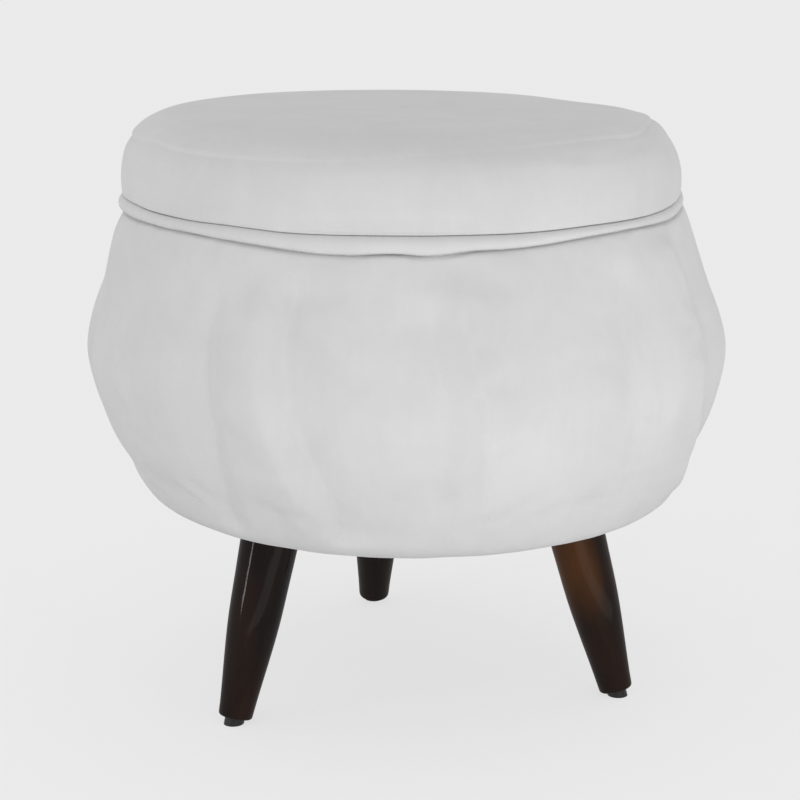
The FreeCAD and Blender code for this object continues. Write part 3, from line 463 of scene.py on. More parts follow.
def finish(name):
    """The material of that short name, made the first time it is asked for."""
    colours = bpy.context.scene.pouf_finish
    makers = {
        "velvet": lambda: pile_velvet("short_pile_velvet", 0.13),
        "trim velvet": lambda: pile_velvet("short_pile_velvet_on_piping", 0.1),
        "twill": cotton_twill,
        "dust cloth": bonded_cloth,
        "leg wood": lacquered_leg_wood,
        "plywood": lambda: sawn_wood("birch_plywood", colours.birch,
                                     [c * 0.6 for c in colours.birch], (1, 0.06, 1), 24, 0.0015),
        "pine": lambda: sawn_wood("planed_pine", colours.pine,
                                  [c * 0.55 for c in colours.pine], (1, 1, 0.05), 60, 0),
        "hardboard": lambda: sawn_wood("tempered_hardboard", linear("#8C6A48"),
                                       linear("#6A4C30"), (1, 1, 1), 40, 0),
        # Powder coat: even satin black with a fine pebble
        "plate": lambda: metal_or_plastic("powder_coated_steel", "#1C1C1D", 0.0, 0.42,
                                          0.0012, 0.0002),
        # Zinc plate: bright, slightly blue and finely grained
        "zinc": lambda: metal_or_plastic("zinc_plated_steel", "#B9BDC0", 1.0, 0.34, 0.0006, 0.0001),
        # Moulded nylon: matt black with a soft moulded grain
        "nylon": lambda: metal_or_plastic("moulded_nylon", "#141414", 0.0, 0.5,
                                          0.0008, 0.0001, 0.4),
        # Spun polyester thread: pale with a faint twist
        "thread": lambda: metal_or_plastic("spun_polyester_thread", "#D6D5D2", 0.0, 0.7,
                                           0.0004, 0.0001, 0.2),
    }
    if name not in MATERIALS:
        MATERIALS[name] = makers[name]()
    return MATERIALS[name]


# Meshes


def new_piece(name, mesh, material=None):
    piece = bpy.data.objects.new(name, mesh)
    bpy.context.scene.collection.objects.link(piece)
    if material:
        mesh.materials.clear()
        mesh.materials.append(material)
    for face in mesh.polygons:
        face.use_smooth = True
    return piece


def soft_line(points, step):
    """Even steps along a rounded line through the points, both ends kept."""
    points = [Vector(p) for p in points]
    slopes = []
    for k, here in enumerate(points):
        before, after = points[max(k - 1, 0)], points[min(k + 1, len(points) - 1)]
        run = (here - before).length + (after - here).length
        slopes.append((after - before) / max(run, 1e-9))
    line = [points[0]]
    for k in range(len(points) - 1):
        chord = (points[k + 1] - points[k]).length
        count = max(1, round(chord / step))
        for n in range(1, count + 1):
            t = n / count
            line.append((2 * t ** 3 - 3 * t ** 2 + 1) * points[k]
                        + (t ** 3 - 2 * t ** 2 + t) * chord * slopes[k]
                        + (3 * t ** 2 - 2 * t ** 3) * points[k + 1]
                        + (t ** 3 - t ** 2) * chord * slopes[k + 1])
    return [tuple(p) for p in line]


def read(table, angle):
    """The values of a table of angles, even between its rows."""
    for low, high in zip(table, table[1:]):
        if angle < high[0]:
            break
    share = min(1.0, max(0.0, (angle - low[0]) / (high[0] - low[0])))
    return [a + (b - a) * share for a, b in zip(low[1:], high[1:])]


def round_readings(table, segments):
    """What the table gives at each of a ring's points, its rows joined softly."""
    fine = list(table[:1])
    for k in range(len(table) - 1):
        before, low, high, after = (table[max(k - 1, 0)], table[k], table[k + 1],
                                    table[min(k + 2, len(table) - 1)])
        for n in range(1, 6):
            t = n / 5
            fine.append(tuple(
                0.5 * (2 * b + (c - a) * t + (2 * a - 5 * b + 4 * c - d) * t * t
                       + (3 * b - a - 3 * c + d) * t ** 3) if place else b + (c - b) * t
                for place, (a, b, c, d) in enumerate(zip(before, low, high, after))))
    angles = [(360 * k / segments - FRONT + 180) % 360 - 180 for k in range(segments)]
    return [read(fine, angle) for angle in angles]


def along(line, run, way):
    """The place at a way along an outline whose rows lie at run, and the direction out of it."""
    k = min(max(bisect.bisect_right(run, way) - 1, 0), len(run) - 2)
    (r, z), (s, w), size = line[k], line[k + 1], run[k + 1] - run[k]
    share = (way - run[k]) / size
    return r + (s - r) * share, z + (w - z) * share, (z - w) / size, (s - r) / size


def turned(name, outline, segments, looped):
    """The outline of (radius, height), in metres, turned about +Z. A looped outline closes on
    itself, and another one starts and ends on the axis. Its UV map is in metres along the
    cloth."""
    rows, places = [], []
    for radius, height in outline:
        count = 1 if radius < 1e-7 else segments
        rows.append([len(places) + k for k in range(count)])
        for k in range(count):
            angle = 2 * math.pi * k / segments
            places.append((radius * math.cos(angle), radius * math.sin(angle), height))
    along = [0.0]
    for a, b in zip(outline, outline[1:] + outline[:1]):
        along.append(along[-1] + math.dist(a, b))
    girth = 2 * math.pi * max(radius for radius, _ in outline)
    faces, flat = [], []
    pairs = list(zip(range(len(rows)), range(1, len(rows))))
    if looped:
        pairs.append((len(rows) - 1, 0))
    for low, high in pairs:
        v_low, v_high = along[low], along[high] if high else along[-1]
        for k in range(segments):
            u, w = girth * k / segments, girth * (k + 1) / segments
            after = (k + 1) % segments
            one, two = rows[low], rows[high]
            if len(one) == 1:
                faces.append((one[0], two[after], two[k]))
                flat += [(u, v_low), (w, v_high), (u, v_high)]
            elif len(two) == 1:
                faces.append((one[k], one[after], two[0]))
                flat += [(u, v_low), (w, v_low), (u, v_high)]
            else:
                faces.append((one[k], one[after], two[after], two[k]))
                flat += [(u, v_low), (w, v_low), (w, v_high), (u, v_high)]
    mesh = bpy.data.meshes.new(name)
    mesh.from_pydata(places, [], faces)
    layer = mesh.uv_layers.new(name="cloth")
    for loop, place in zip(layer.data, flat):
        loop.uv = place
    return mesh


def face_out(mesh):
    """Turns every face outwards."""
    work = bmesh.new()
    work.from_mesh(mesh)
    bmesh.ops.recalc_face_normals(work, faces=work.faces)
    work.to_mesh(mesh)
    work.free()
    mesh.update()


def side_angle(place):
    """Degrees to the right of the photographed front, from -180 to 180."""
    return (math.degrees(math.atan2(place.y, place.x)) - FRONT + 180) % 360 - 180


def lean(height):
    """How far the soft parts stand off the axis, to the photograph's right: the drum's foot
    7 mm one way and the lid 4 mm the other."""
    share = (height - 0.275) / 0.155
    side = -0.0013 - 0.0030 * share if share > 0 else -0.0013 + 0.0070 * (-share) ** 1.3
    side += 0.0036 * eased((0.168 - height) / 0.012)
    angle = math.radians(FRONT + 90)
    return Vector((side * math.cos(angle), side * math.sin(angle), 0))


def subdivide(piece):
    smooth = piece.modifiers.new("fine", "SUBSURF")
    smooth.levels = smooth.render_levels = 1


def settle(piece, held, pressure, cap):
    """Fills the cloth with soft pressure while its seams are held, then keeps the shape. No
    point moves further than about the cap."""
    if pressure <= 0:
        return
    scene = bpy.context.scene
    group = piece.vertex_groups.new(name="sewn")
    for index, weight in enumerate(held):
        if weight > 0:
            group.add([index], weight, "REPLACE")
    cloth = piece.modifiers.new("settling", "CLOTH")
    facts = cloth.settings
    facts.quality = 5
    facts.mass = 0.3
    facts.tension_stiffness = facts.compression_stiffness = 12
    facts.shear_stiffness = 5
    facts.bending_stiffness = 0.6
    facts.vertex_group_mass = "sewn"
    facts.use_pressure = True
    facts.uniform_pressure_force = pressure
    facts.effector_weights.gravity = 0
    cloth.point_cache.frame_start, cloth.point_cache.frame_end = 1, 20
    for number in range(1, 21):
        scene.frame_set(number)
    shape = piece.evaluated_get(bpy.context.evaluated_depsgraph_get()).data
    for point, moved in zip(piece.data.vertices, [v.co.copy() for v in shape.vertices]):
        step = moved - point.co
        if step.length > 1e-9:
            point.co += step * (cap * math.tanh(step.length / cap) / step.length)
    piece.modifiers.remove(cloth)
    piece.vertex_groups.remove(group)
    scene.frame_set(1)
    piece.data.update()


# Drum


def back_folds():
    """Folds of the unseen half, each as long and as uneven as the photographed ones."""
    strewn = random.Random(23)
    folds = []
    for angle, depth in BACK_FOLDS:
        turn = strewn.uniform(-3.5, 3.5)
        crease = strewn.random() < 0.45
        low, high = strewn.uniform(182, 212), strewn.uniform(300, 340)
        line = tuple((low + (high - low) * t, angle + turn * (t - 0.5) + strewn.uniform(-0.7, 0.7))
                     for t in (0, 0.33, 0.66, 1))
        left = strewn.uniform(9, 24)
        folds.append((-depth, left, 33 - left, 1.2 if crease else 1.7,
                      strewn.uniform(18, 32), strewn.uniform(22, 36), line))
    return tuple(folds)


def fold_depths(folds):
    """The same folds with each line drawn out in fine steps, for looking up."""
    return [(*fold[:6], soft_line(fold[6], 6)) for fold in folds]


def fold_push(folds, angle, height, radius):
    """How far the folds push the cover out at an angle and height, in millimetres."""
    push = 0.0
    for depth, left, right, sharp, below, above, line in folds:
        low, high = line[0][0], line[-1][0]
        if not low - below < height < high + above:
            continue
        fade = eased((height - low + below) / below) * eased((high + above - height) / above)
        place = min(1.0, max(0.0, (height - low) / (high - low))) * (len(line) - 1)
        first = min(int(place), len(line) - 2)
        middle = line[first][1] + (line[first + 1][1] - line[first][1]) * (place - first)
        across = math.radians((angle - middle + 180) % 360 - 180) * radius
        spread = abs(across) / (left if across < 0 else right)
        if spread < 4:
            push += depth * fade * math.exp(-spread ** sharp)
    return push


def drum_outline(belly):
    """The cover's outer side from under the piping to its hem, then back along the frame."""
    grow = belly / MM - 243
    outer = [(203.2, 374.6), (207.4, 374.75), (210.4, 375.0), (212.5, 375.2), (213.8, 374.3),
             (215.0, 371.4), (219.9, 356.6), (229, 329.1), (237.9 + grow * 0.9, 302.1),
             (243 + grow, 275.2), (240.9 + grow, 253.6), (232.4 + grow * 0.8, 221.2),
             (218.6, 188.8), (210.4, 171.5), (203.6, 162.4), (193.8, 156.6), (183.6, 154.0),
             (174.5, 153), (163.6, 152.7)]
    hem = [(162.4, 153.1), (162.6, 153.9)]
    inner = [(168, 154.05), (175.6, 154.1), (175.6, 190), (175.6, 240), (175.6, 290),
             (175.6, 340), (175.6, 369.9), (190, 369.95), (202.5, 370.0), (202.5, 372.5)]
    line = soft_line(outer[:6], 1.5) + soft_line(outer[5:], 4.7)[1:]
    return [(r * MM, z * MM) for r, z in line + hem + inner], len(line)


class POUF_OT_drum_cover(Operator):
    """Fabric shell of the drum over its padding, with the photographed folds"""
    bl_idname = "pouf.drum_cover"
    bl_label = "Drum cover"
    bl_options = {"REGISTER", "UNDO"}

    def execute(self, context):
        cover = context.scene.pouf_cover
        outline, outer = drum_outline(cover.belly)
        segments = 320
        mesh = turned("drum_cover", outline, segments, True)
        folds = fold_depths(FRONT_FOLDS + back_folds())
        rim = round_readings(RIM, segments)
        held = []
        for number, point in enumerate(mesh.vertices):
            row = number // segments
            radius, height = outline[row]
            if row < outer:
                angle = side_angle(point.co)
                push = fold_push(folds, angle, height / MM, radius / MM) * cover.folds
                # Small gathers everywhere, strongest where the cloth turns under
                seed = Vector((point.co.x * 26, point.co.y * 26, height * 5))
                gather = 1.1 * noise.noise(seed) + 0.5 * noise.noise(seed * 2.7)
                ends = eased((374 - height / MM) / 45) * eased((height / MM - 154) / 22)
                push += gather * (0.25 + 0.75 * ends)
                under = eased((168 - height / MM) / 14) * (radius > 0.164)
                out = Vector((point.co.x, point.co.y, 0)).normalized()
                if under > 0.5:
                    point.co.z -= 0.0004 * (0.5 + noise.noise(seed * 1.8)) * under
                # The top edge follows the piping that is sewn on there
                _, seam, _, drawn, _ = rim[number % segments]
                push -= drawn * eased((height / MM - 362) / 10)
                point.co.z += seam * MM * eased((height / MM - 330) / 42)
                point.co += out * (push * (1 - 0.8 * under) * MM)
                point.co += lean(height) * eased((radius / MM - 168) / 20)
            end = min(eased((row - 1) / 5), eased((outer - 10 - row) / 6)) if row < outer else 0
            held.append(1 - end)
        piece = new_piece("drum_cover", mesh, finish("velvet"))
        face_out(mesh)
        settle(piece, held, cover.puff, cover.cap)
        subdivide(piece)
        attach(piece, "drum")
        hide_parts("body_cover", "body_padding")
        return {"FINISHED"}


class POUF_OT_piping(Operator):
    """Corded piping sewn round the rim, and its row of stitches"""
    bl_idname = "pouf.piping"
    bl_label = "Rim piping"
    bl_options = {"REGISTER", "UNDO"}

    def execute(self, context):
        trim = context.scene.pouf_trim
        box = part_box("piping_cover")
        ring = box[1].x - trim.piping
        middle = box[0].z + trim.piping
        rings, sides = 520, 18
        places, faces, flat = [], [], []
        rim = round_readings(RIM, rings)
        for k, (foot, seam, reach, _, crumple) in enumerate(rim):
            turn = 2 * math.pi * k / rings
            seed = Vector((3.1 * math.cos(turn), 3.1 * math.sin(turn), 0.4))
            # The tube's ends lap at the back, in a fold 3 mm wide
            lap = 1 + 0.09 * eased((2.2 - abs(math.degrees(turn) - 96)) / 0.8)
            stray = trim.wave * noise.noise(seed * 1.7) * 1.5
            centre = Vector((math.cos(turn), math.sin(turn), 0)) * (ring + stray)
            centre += lean(middle) + Vector((0, 0, middle + (foot + seam) / 2 * MM))
            wide = reach * MM * trim.piping / 0.0055
            tall = trim.piping + (foot - seam) / 2 * MM
            for n in range(sides):
                tilt = 2 * math.pi * n / sides
                out = Vector((math.cos(turn), math.sin(turn), 0)) * math.cos(tilt) * wide
                # Creases run aslant round the tube, 6 to 20 mm apart
                crease = noise.noise(seed * 9 + Vector((tilt * 0.35, 0, math.sin(tilt))))
                crease += 0.6 * noise.noise(seed * 21 + Vector((tilt * 0.5, 3, math.cos(tilt))))
                size = lap * (1 + crumple * crease * (1 - abs(math.sin(tilt)) ** 3))
                places.append(centre + (out + Vector((0, 0, math.sin(tilt) * tall))) * size)
        girth = 2 * math.pi * ring
        for k in range(rings):
            for n in range(sides):
                m, after = (k + 1) % rings, (n + 1) % sides
                faces.append((k * sides + n, m * sides + n, m * sides + after, k * sides + after))
                u, w = girth * k / rings, girth * (k + 1) / rings
                v, x = (2 * math.pi * trim.piping * t / sides for t in (n, n + 1))
                flat += [(u, v), (w, v), (w, x), (u, x)]
        mesh = bpy.data.meshes.new("rim_piping")
        mesh.from_pydata(places, [], faces)
        layer = mesh.uv_layers.new(name="cloth")
        for loop, place in zip(layer.data, flat):
            loop.uv = place
        piece = new_piece("rim_piping", mesh, finish("trim velvet"))
        face_out(mesh)
        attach(piece, "drum")
        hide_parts("piping_cover", "piping_cord")
        count = round(girth / trim.stitch)
        stitches = grow("piping_stitches", row_tree(), {
            "Ring radius": ring + 0.0030, "Height": box[0].z + 0.0006, "Count": count,
            "Crown": trim.stitch * 0.72, "Wire": trim.thread, "Rise": 0.0, "Wobble": 0.12,
            "Seed": 4, "Material": finish("thread")})
        for point in stitches.data.vertices:
            turn = math.atan2(point.co.y, point.co.x) / (2 * math.pi) % 1
            point.co += lean(middle) + Vector((0, 0, rim[int(turn * rings) % rings][1] * MM))
        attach(stitches, "drum")
        return {"FINISHED"}


def cloth_piece(name, outline, segments, looped, material, nodes, slot, body, **cut):
    mesh = turned(name, [(r * MM, z * MM) for r, z in outline], segments, looped)
    piece = new_piece(name, mesh, finish(material))
    face_out(mesh)
    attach(piece, body)
    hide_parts(*nodes)
    return piece


class POUF_OT_rim_facing(Operator):
    """Fabric drawn over the hoop and into the drum's mouth"""
    bl_idname = "pouf.rim_facing"
    bl_label = "Rim facing"
    bl_options = {"REGISTER", "UNDO"}

    def execute(self, context):
        low, high = (v / MM for v in (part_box("rim_facing")[0].z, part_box("rim_facing")[1].z))
        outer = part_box("rim_facing")[1].x / MM
        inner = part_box("storage_wall_lining")[1].x / MM - 2.4
        # Its outer edge turns down between the hoop and the piping
        top = soft_line([(outer + 0.6, high - 8), (outer + 0.6, high - 1.6),
                         (outer - 0.4, high - 0.2), (outer - 8, high - 0.25),
                         (inner + 9, high - 0.15), (inner + 2.4, high - 0.6),
                         (inner + 0.3, high - 3.2), (inner, high - 8), (inner, low + 0.4)], 1.6)
        under = [(inner + 1.3, low + 0.05), (inner + 1.4, high - 8), (inner + 3.4, high - 1.7),
                 (outer - 8, high - 1.4), (outer - 0.6, high - 1.5), (outer + 0.05, high - 8)]
        piece = cloth_piece("rim_facing_cloth", top + under, 200, True, "velvet",
                            ["rim_facing"], "cover_fabric", "drum", flat=(0.424, 0.424),
                            held="stretched", rests_on=["top_hoop"], area=0.083)
        for point in piece.data.vertices:
            reach = math.hypot(point.co.x, point.co.y) / MM
            if point.co.z / MM < high - 5 and reach < inner + 0.8:
                wave = noise.noise(Vector((point.co.x * 60, point.co.y * 60, 0)))
                out = Vector((point.co.x, point.co.y, 0)).normalized()
                point.co += out * (0.35 * MM * abs(wave))
            # The edge keeps to the piping
            point.co += lean(point.co.z) * eased((reach - inner - 15) / 30)
        return {"FINISHED"}


class POUF_OT_storage_lining(Operator):
    """Cloth-covered card round the hollow and on its floor"""
    bl_idname = "pouf.storage_lining"
    bl_label = "Storage lining"
    bl_options = {"REGISTER", "UNDO"}

    def execute(self, context):
        low, high = (v.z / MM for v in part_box("storage_wall_lining"))
        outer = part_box("storage_wall_lining")[1].x / MM
        inner = outer - 2.4
        path = soft_line([(inner + 0.9, low + 0.1), (inner + 0.1, low + 1.2), (inner, low + 20),
                          (inner, high - 20), (inner + 0.1, high - 1.4),
                          (inner + 1.0, high - 0.1)], 6)
        path += [(outer - 0.05, high - 0.2), (outer - 0.05, low + 0.2)]
        wall = cloth_piece("storage_wall_cloth", path, 220, True, "twill",
                           ["storage_wall_lining"], "lining_fabric", "drum",
                           flat=(2 * math.pi * inner * MM, (high - low) * MM),
                           held="stretched", rests_on=["drum_wall"])
        for point in wall.data.vertices:
            if math.hypot(point.co.x, point.co.y) > (inner + 0.7) * MM:
                continue
            out = Vector((point.co.x, point.co.y, 0)).normalized()
            # The strip's ends lap at the back, and the cloth is a little slack on the card
            lap = abs((math.degrees(math.atan2(point.co.y, point.co.x)) - 92 + 180) % 360 - 180)
            slack = noise.noise(Vector((point.co.x * 22, point.co.y * 22, point.co.z * 9)))
            point.co -= out * MM * (0.7 * eased((3.4 - lap) / 0.9) + 0.25 * slack)
        low, high = (v.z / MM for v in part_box("storage_floor_lining"))
        path = soft_line([(0, high), (60, high), (120, high), (146, high - 0.05),
                          (150.4, high - 0.3), (150.9, high - 0.8)], 6)
        path += [(150.9, low + 0.1), (0, low + 0.1)]
        cloth_piece("storage_floor_cloth", path, 160, False, "twill", ["storage_floor_lining"],
                    "lining_fabric", "drum", flat=(0.302, 0.302), held="laid",
                    rests_on=["base_board"], area=0.0716)
        return {"FINISHED"}


class POUF_OT_dust_cover(Operator):
    """Black non-woven cloth stapled under the drum"""
    bl_idname = "pouf.dust_cover"
    bl_label = "Dust cover"
    bl_options = {"REGISTER", "UNDO"}

    def execute(self, context):
        low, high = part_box("dust_cover")[0].z / MM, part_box("dust_cover")[1].z / MM
        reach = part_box("dust_cover")[1].x / MM
        path = soft_line([(0, low + 0.05), (60, low + 0.05), (120, low + 0.05), (162, low + 0.05),
                          (reach - 4, low + 0.05), (reach - 0.6, low + 0.2),
                          (reach, low + 0.5), (reach - 0.6, high - 0.1)], 2.5)
        path += [(reach - 5, high - 0.05), (0, high - 0.05)]
        piece = cloth_piece("dust_cover_cloth", path, 240, False, "dust cloth", ["dust_cover"],
                            "dust_fabric", "drum", flat=(2 * reach * MM, 2 * reach * MM),
                            held="stretched", rests_on=["base_board"],
                            area=math.pi * (reach * MM) ** 2)
        for point in piece.data.vertices:
            distance = math.hypot(point.co.x, point.co.y) / MM
            if distance < reach - 14:
                continue
            # Between its 24 staples the folded edge draws in and puckers
            turn = math.degrees(math.atan2(point.co.y, point.co.x))
            between = 0.5 - 0.5 * math.cos(math.radians(turn * 24))
            share = (distance - reach + 14) / 14
            out = Vector((point.co.x, point.co.y, 0)).normalized()
            point.co -= out * MM * 1.1 * between * share ** 2
        return {"FINISHED"}


# Lid


def lid_outline(crown):
    """The cushion from the crown over the shoulder, the seam and the band to the hem under
    the board, then back along the board. Returns the line, the seam's row and the last row of
    the outer side."""
    rise = crown / MM - 450
    top = [(0, 450.5 + rise), (60, 450.5 + rise), (110, 450.3 + rise), (148, 449.8 + rise),
           (166, 448.9 + rise), (176.5, 447.2 + rise), (185, 444.1 + rise * 0.5), (193, 439.7),
           (198.2, 435.5), (201, 432.2)]
    seam = [(201, 432.2), (201.6, 431.4), (202.2, 430.6)]
    band = [(202.2, 430.6), (205.4, 425.6), (208.2, 418.4), (210.1, 411), (211.1, 403),
            (211.2, 395), (211.0, 389), (210.6, 386.9), (209.6, 386.05), (208.0, 386.0)]
    under = [(208.0, 386.0), (203, 386.5), (188, 386.75), (171.4, 386.8)]
    hem = [(169.9, 387.2), (169.9, 388.0)]
    inner = [(180, 388.1), (199.9, 388.12), (199.9, 394), (199.9, 400.1), (160, 400.12),
             (110, 400.12), (60, 400.12), (0, 400.12)]
    upper = soft_line(top[:5], 7) + soft_line(top[4:], 2.1)[1:]
    lower = soft_line(band[:7], 2.6) + soft_line(band[6:], 0.8)[1:] + soft_line(under, 5)[1:]
    line = upper + seam[1:2] + lower
    return [(r * MM, z * MM) for r, z in line + hem + inner], len(upper), len(line)


class POUF_OT_lid_cushion(Operator):
    """Top panel and side band of the lid, sewn together over the foam and turned under"""
    bl_idname = "pouf.lid_cushion"
    bl_label = "Lid cushion"
    bl_options = {"REGISTER", "UNDO"}

    def execute(self, context):
        lid = context.scene.pouf_lid
        outline, seam_row, outer = lid_outline(lid.crown)
        segments = 280
        mesh = turned("lid_cushion", outline, segments, False)
        run = [0.0]
        for one, two in zip(outline[:outer], outline[1:outer]):
            run.append(run[-1] + math.dist(one, two))
        # Where the crease runs on each of the ring's points
        shoulder = [(-z, way) for (_, z), way in zip(outline[8:seam_row + 9], run[8:])]
        creases = []
        for height, shown in round_readings(CREASE, segments):
            creases.append((read(shoulder, -height * MM)[0] - run[seam_row], min(1, max(0, shown))))
        rim = round_readings(RIM, segments)
        held = []
        for number, point in enumerate(mesh.vertices):
            row = 0 if number == 0 else 1 + (number - 1) // segments
            radius, height = outline[min(row, len(outline) - 1)]
            if row >= outer or radius < 1e-6:
                held.append(1.0 if row >= outer else 0.0)
                continue
            column = (number - 1) % segments
            angle = side_angle(point.co)
            out = Vector((point.co.x, point.co.y, 0)).normalized()
            # The rows slide along the outline, so that the seam comes to lie on its crease
            off = run[row] - run[seam_row]
            slide, shown = creases[column]
            radius, height, level, upward = along(outline[:outer], run, run[row] + slide
                                                  * math.exp(-(off / 0.030) ** 2))
            push = 1000 * shown * (lid.lip * math.exp(-((off + 0.0022) / 0.0015) ** 2)
                                   - lid.seam * math.exp(-(off / 0.0011) ** 2)
                                   - 0.5 * lid.seam * math.exp(-((off - 0.0035) / 0.0035) ** 2))
            z = height / MM
            for middle, level_of, depth, wide, tall in DENTS:
                away = ((angle - middle) / wide) ** 2 + ((z - level_of) / tall) ** 2
                if away < 9:
                    push += depth * math.exp(-away) * eased((radius / MM - 110) / 45)
            # The band's lower front is pressed in a little, from a sharp edge on its left
            push -= (1.1 * eased((angle + 19.5) / 2.5) * eased((24 - angle) / 22)
                     * eased((400.5 - z) / 5) * eased((z - 386.5) / 2))
            seed = Vector((out.x * 5, out.y * 5, height * 24))
            loose = noise.noise(seed) + 0.5 * noise.noise(seed * 2.3)
            side = eased(off / 0.012) * eased((z - 388) / 8)
            push += 0.5 * loose * side
            point.co = out * (radius + push * level * MM)
            point.co.z = height + push * upward * MM
            # The cushion is a little thicker at the photograph's left than at its right
            across = point.co.dot(Vector((math.sin(math.radians(-FRONT)),
                                          -math.cos(math.radians(-FRONT)), 0)))
            point.co.z -= 0.0145 * across * eased((z - 395) / 45)
            # The foot follows the piping that it rests on
            foot = rim[column][0]
            inside = 204 if foot < 0 else 182
            point.co.z += (foot * MM * eased((radius / MM - inside) / (209 - inside))
                           * eased((410 - z) / 20))
            if row < seam_row:
                hollow = noise.noise(Vector((point.co.x * 9, point.co.y * 9, 5)))
                point.co.z += 0.0005 * hollow * eased((200 - radius / MM) / 30)
            point.co += lean(height) * (1.0 if radius > 0.18 or row < seam_row else
                                        eased((radius / MM - 170) / 10))
            held.append(max(1 - eased(abs(off) / 0.005),
                            1 - eased((outer - 18 - row) / 5) if row > seam_row else
                            0.75 * eased((196 - radius / MM) / 25)))
        piece = new_piece("lid_cushion", mesh, finish("velvet"))
        face_out(mesh)
        settle(piece, held, lid.puff, lid.cap)
        subdivide(piece)
        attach(piece, "lid")
        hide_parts("lid_top_panel", "lid_side_band", "lid_foam", "lid_wadding")
        return {"FINISHED"}


class POUF_OT_lid_lining(Operator):
    """Cotton lining over the disc that keeps the lid centred"""
    bl_idname = "pouf.lid_lining"
    bl_label = "Lid lining"
    bl_options = {"REGISTER", "UNDO"}

    def execute(self, context):
        low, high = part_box("lid_lining")[0].z / MM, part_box("lid_lining")[1].z / MM
        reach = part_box("lid_lining")[1].x / MM
        path = soft_line([(0, low), (60, low), (120, low), (139, low + 0.05), (143.6, low + 0.7),
                          (145.5, low + 2.6), (145.8, low + 6), (145.9, high - 3.4),
                          (147.2, high - 1.4), (151, high - 0.85), (reach - 0.3, high - 0.8)], 2.6)
        path += [(reach - 0.1, high - 0.1), (146.4, high - 0.1), (145.0, high - 3),
                 (145.0, low + 2.6), (143, low + 0.8), (0, low + 0.75)]
        piece = cloth_piece("lid_lining_cloth", path, 300, False, "twill", ["lid_lining"],
                            "lining_fabric", "lid", flat=(0.365, 0.365), held="stretched",
                            rests_on=["lid_locator", "lid_board"], area=0.1015)
        for point in piece.data.vertices:
            distance = math.hypot(point.co.x, point.co.y) / MM
            if not 141 < distance < 152 or point.co.z / MM > high - 0.5:
                continue
            # Pleats where the round cloth is drawn in over the disc's edge
            turn = math.atan2(point.co.y, point.co.x)
            seed = Vector((math.cos(turn) * 14, math.sin(turn) * 14, 0))
            pleat = max(0.0, noise.noise(seed) * 1.6)
            side = eased((point.co.z / MM - low - 1) / 4)
            out = Vector((point.co.x, point.co.y, 0)).normalized()
            point.co += out * (0.7 * pleat * side * MM)
        return {"FINISHED"}


# Legs


class POUF_OT_legs(Operator):
    """Three turned legs, each with its grain along its own axis"""
    bl_idname = "pouf.legs"
    bl_label = "Turned legs"
    bl_options = {"REGISTER", "UNDO"}

    def execute(self, context):
        leg = context.scene.pouf_legs
        foot, middle, top = leg.foot / MM, leg.middle / MM, leg.top / MM
        start, end = leg.start / MM, leg.end / MM
        half = (start + end) / 2
        side = soft_line([(foot, start + 2.6), (foot + 0.9, start + 14),
                          (middle, half), (top - 0.9, end - 30), (top, end - 1.4)], 3.2)
        low = soft_line([(foot - 2.4, start), (foot - 1.0, start + 0.4), (foot - 0.3, start + 1.2),
                         (foot, start + 2.6)], 0.5)
        high = soft_line([(top, end - 1.4), (top - 0.35, end - 0.4), (top - 1.2, end)], 0.4)
        line = [(0, start)] + low + side[1:] + high[1:] + [(0, end)]
        for number, (name, angle) in enumerate(LEG_ANGLES.items()):
            mesh = turned(f"leg_{name}_turned", [(r * MM, z * MM) for r, z in line], 72, False)
            mesh.attributes.new("place", "FLOAT_VECTOR", "POINT")
            mesh.attributes.new("painted_glow", "FLOAT", "POINT")
            for point, kept, wear_and_painted_glow in zip(mesh.vertices, mesh.attributes["place"].data,
                                         mesh.attributes["painted_glow"].data):
                # Sanding leaves the turned side a hair out of round
                seed = Vector((point.co.x * 55, point.co.y * 55, point.co.z * 16 + number * 9))
                out = Vector((point.co.x, point.co.y, 0))
                if out.length > 0.004 and 0.012 < point.co.z < 0.146:
                    point.co += out.normalized() * (0.14 * MM * noise.noise(seed))
                kept.vector = point.co + Vector((0.31, 0.17, 0.4)) * number
                # A glow of light is painted on the right leg's upper left
                facing = out.normalized().dot(Vector((-0.34, -0.94, 0)))
                wear_and_painted_glow.value = (eased((facing - 0.1) / 0.7) * eased((point.co.z - 0.055) / 0.06)
                              if name == "front_right" else 0.0)
            mesh.transform(Matrix.Rotation(math.radians(angle), 4, "Z")
                           @ Matrix.Translation((leg.foot_ring, 0, 0))
                           @ Matrix.Rotation(-leg.splay, 4, "Y"))
            piece = new_piece(f"leg_{name}_turned", mesh, finish("leg wood"))
            face_out(mesh)
            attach(piece, "drum")
            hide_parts(f"leg_{name}")
        return {"FINISHED"}


# Fastenings


def grown_input(tree, name, kind, default=None):
    socket = tree.interface.new_socket(name, in_out="INPUT", socket_type=kind)
    if default is not None:
        socket.default_value = default


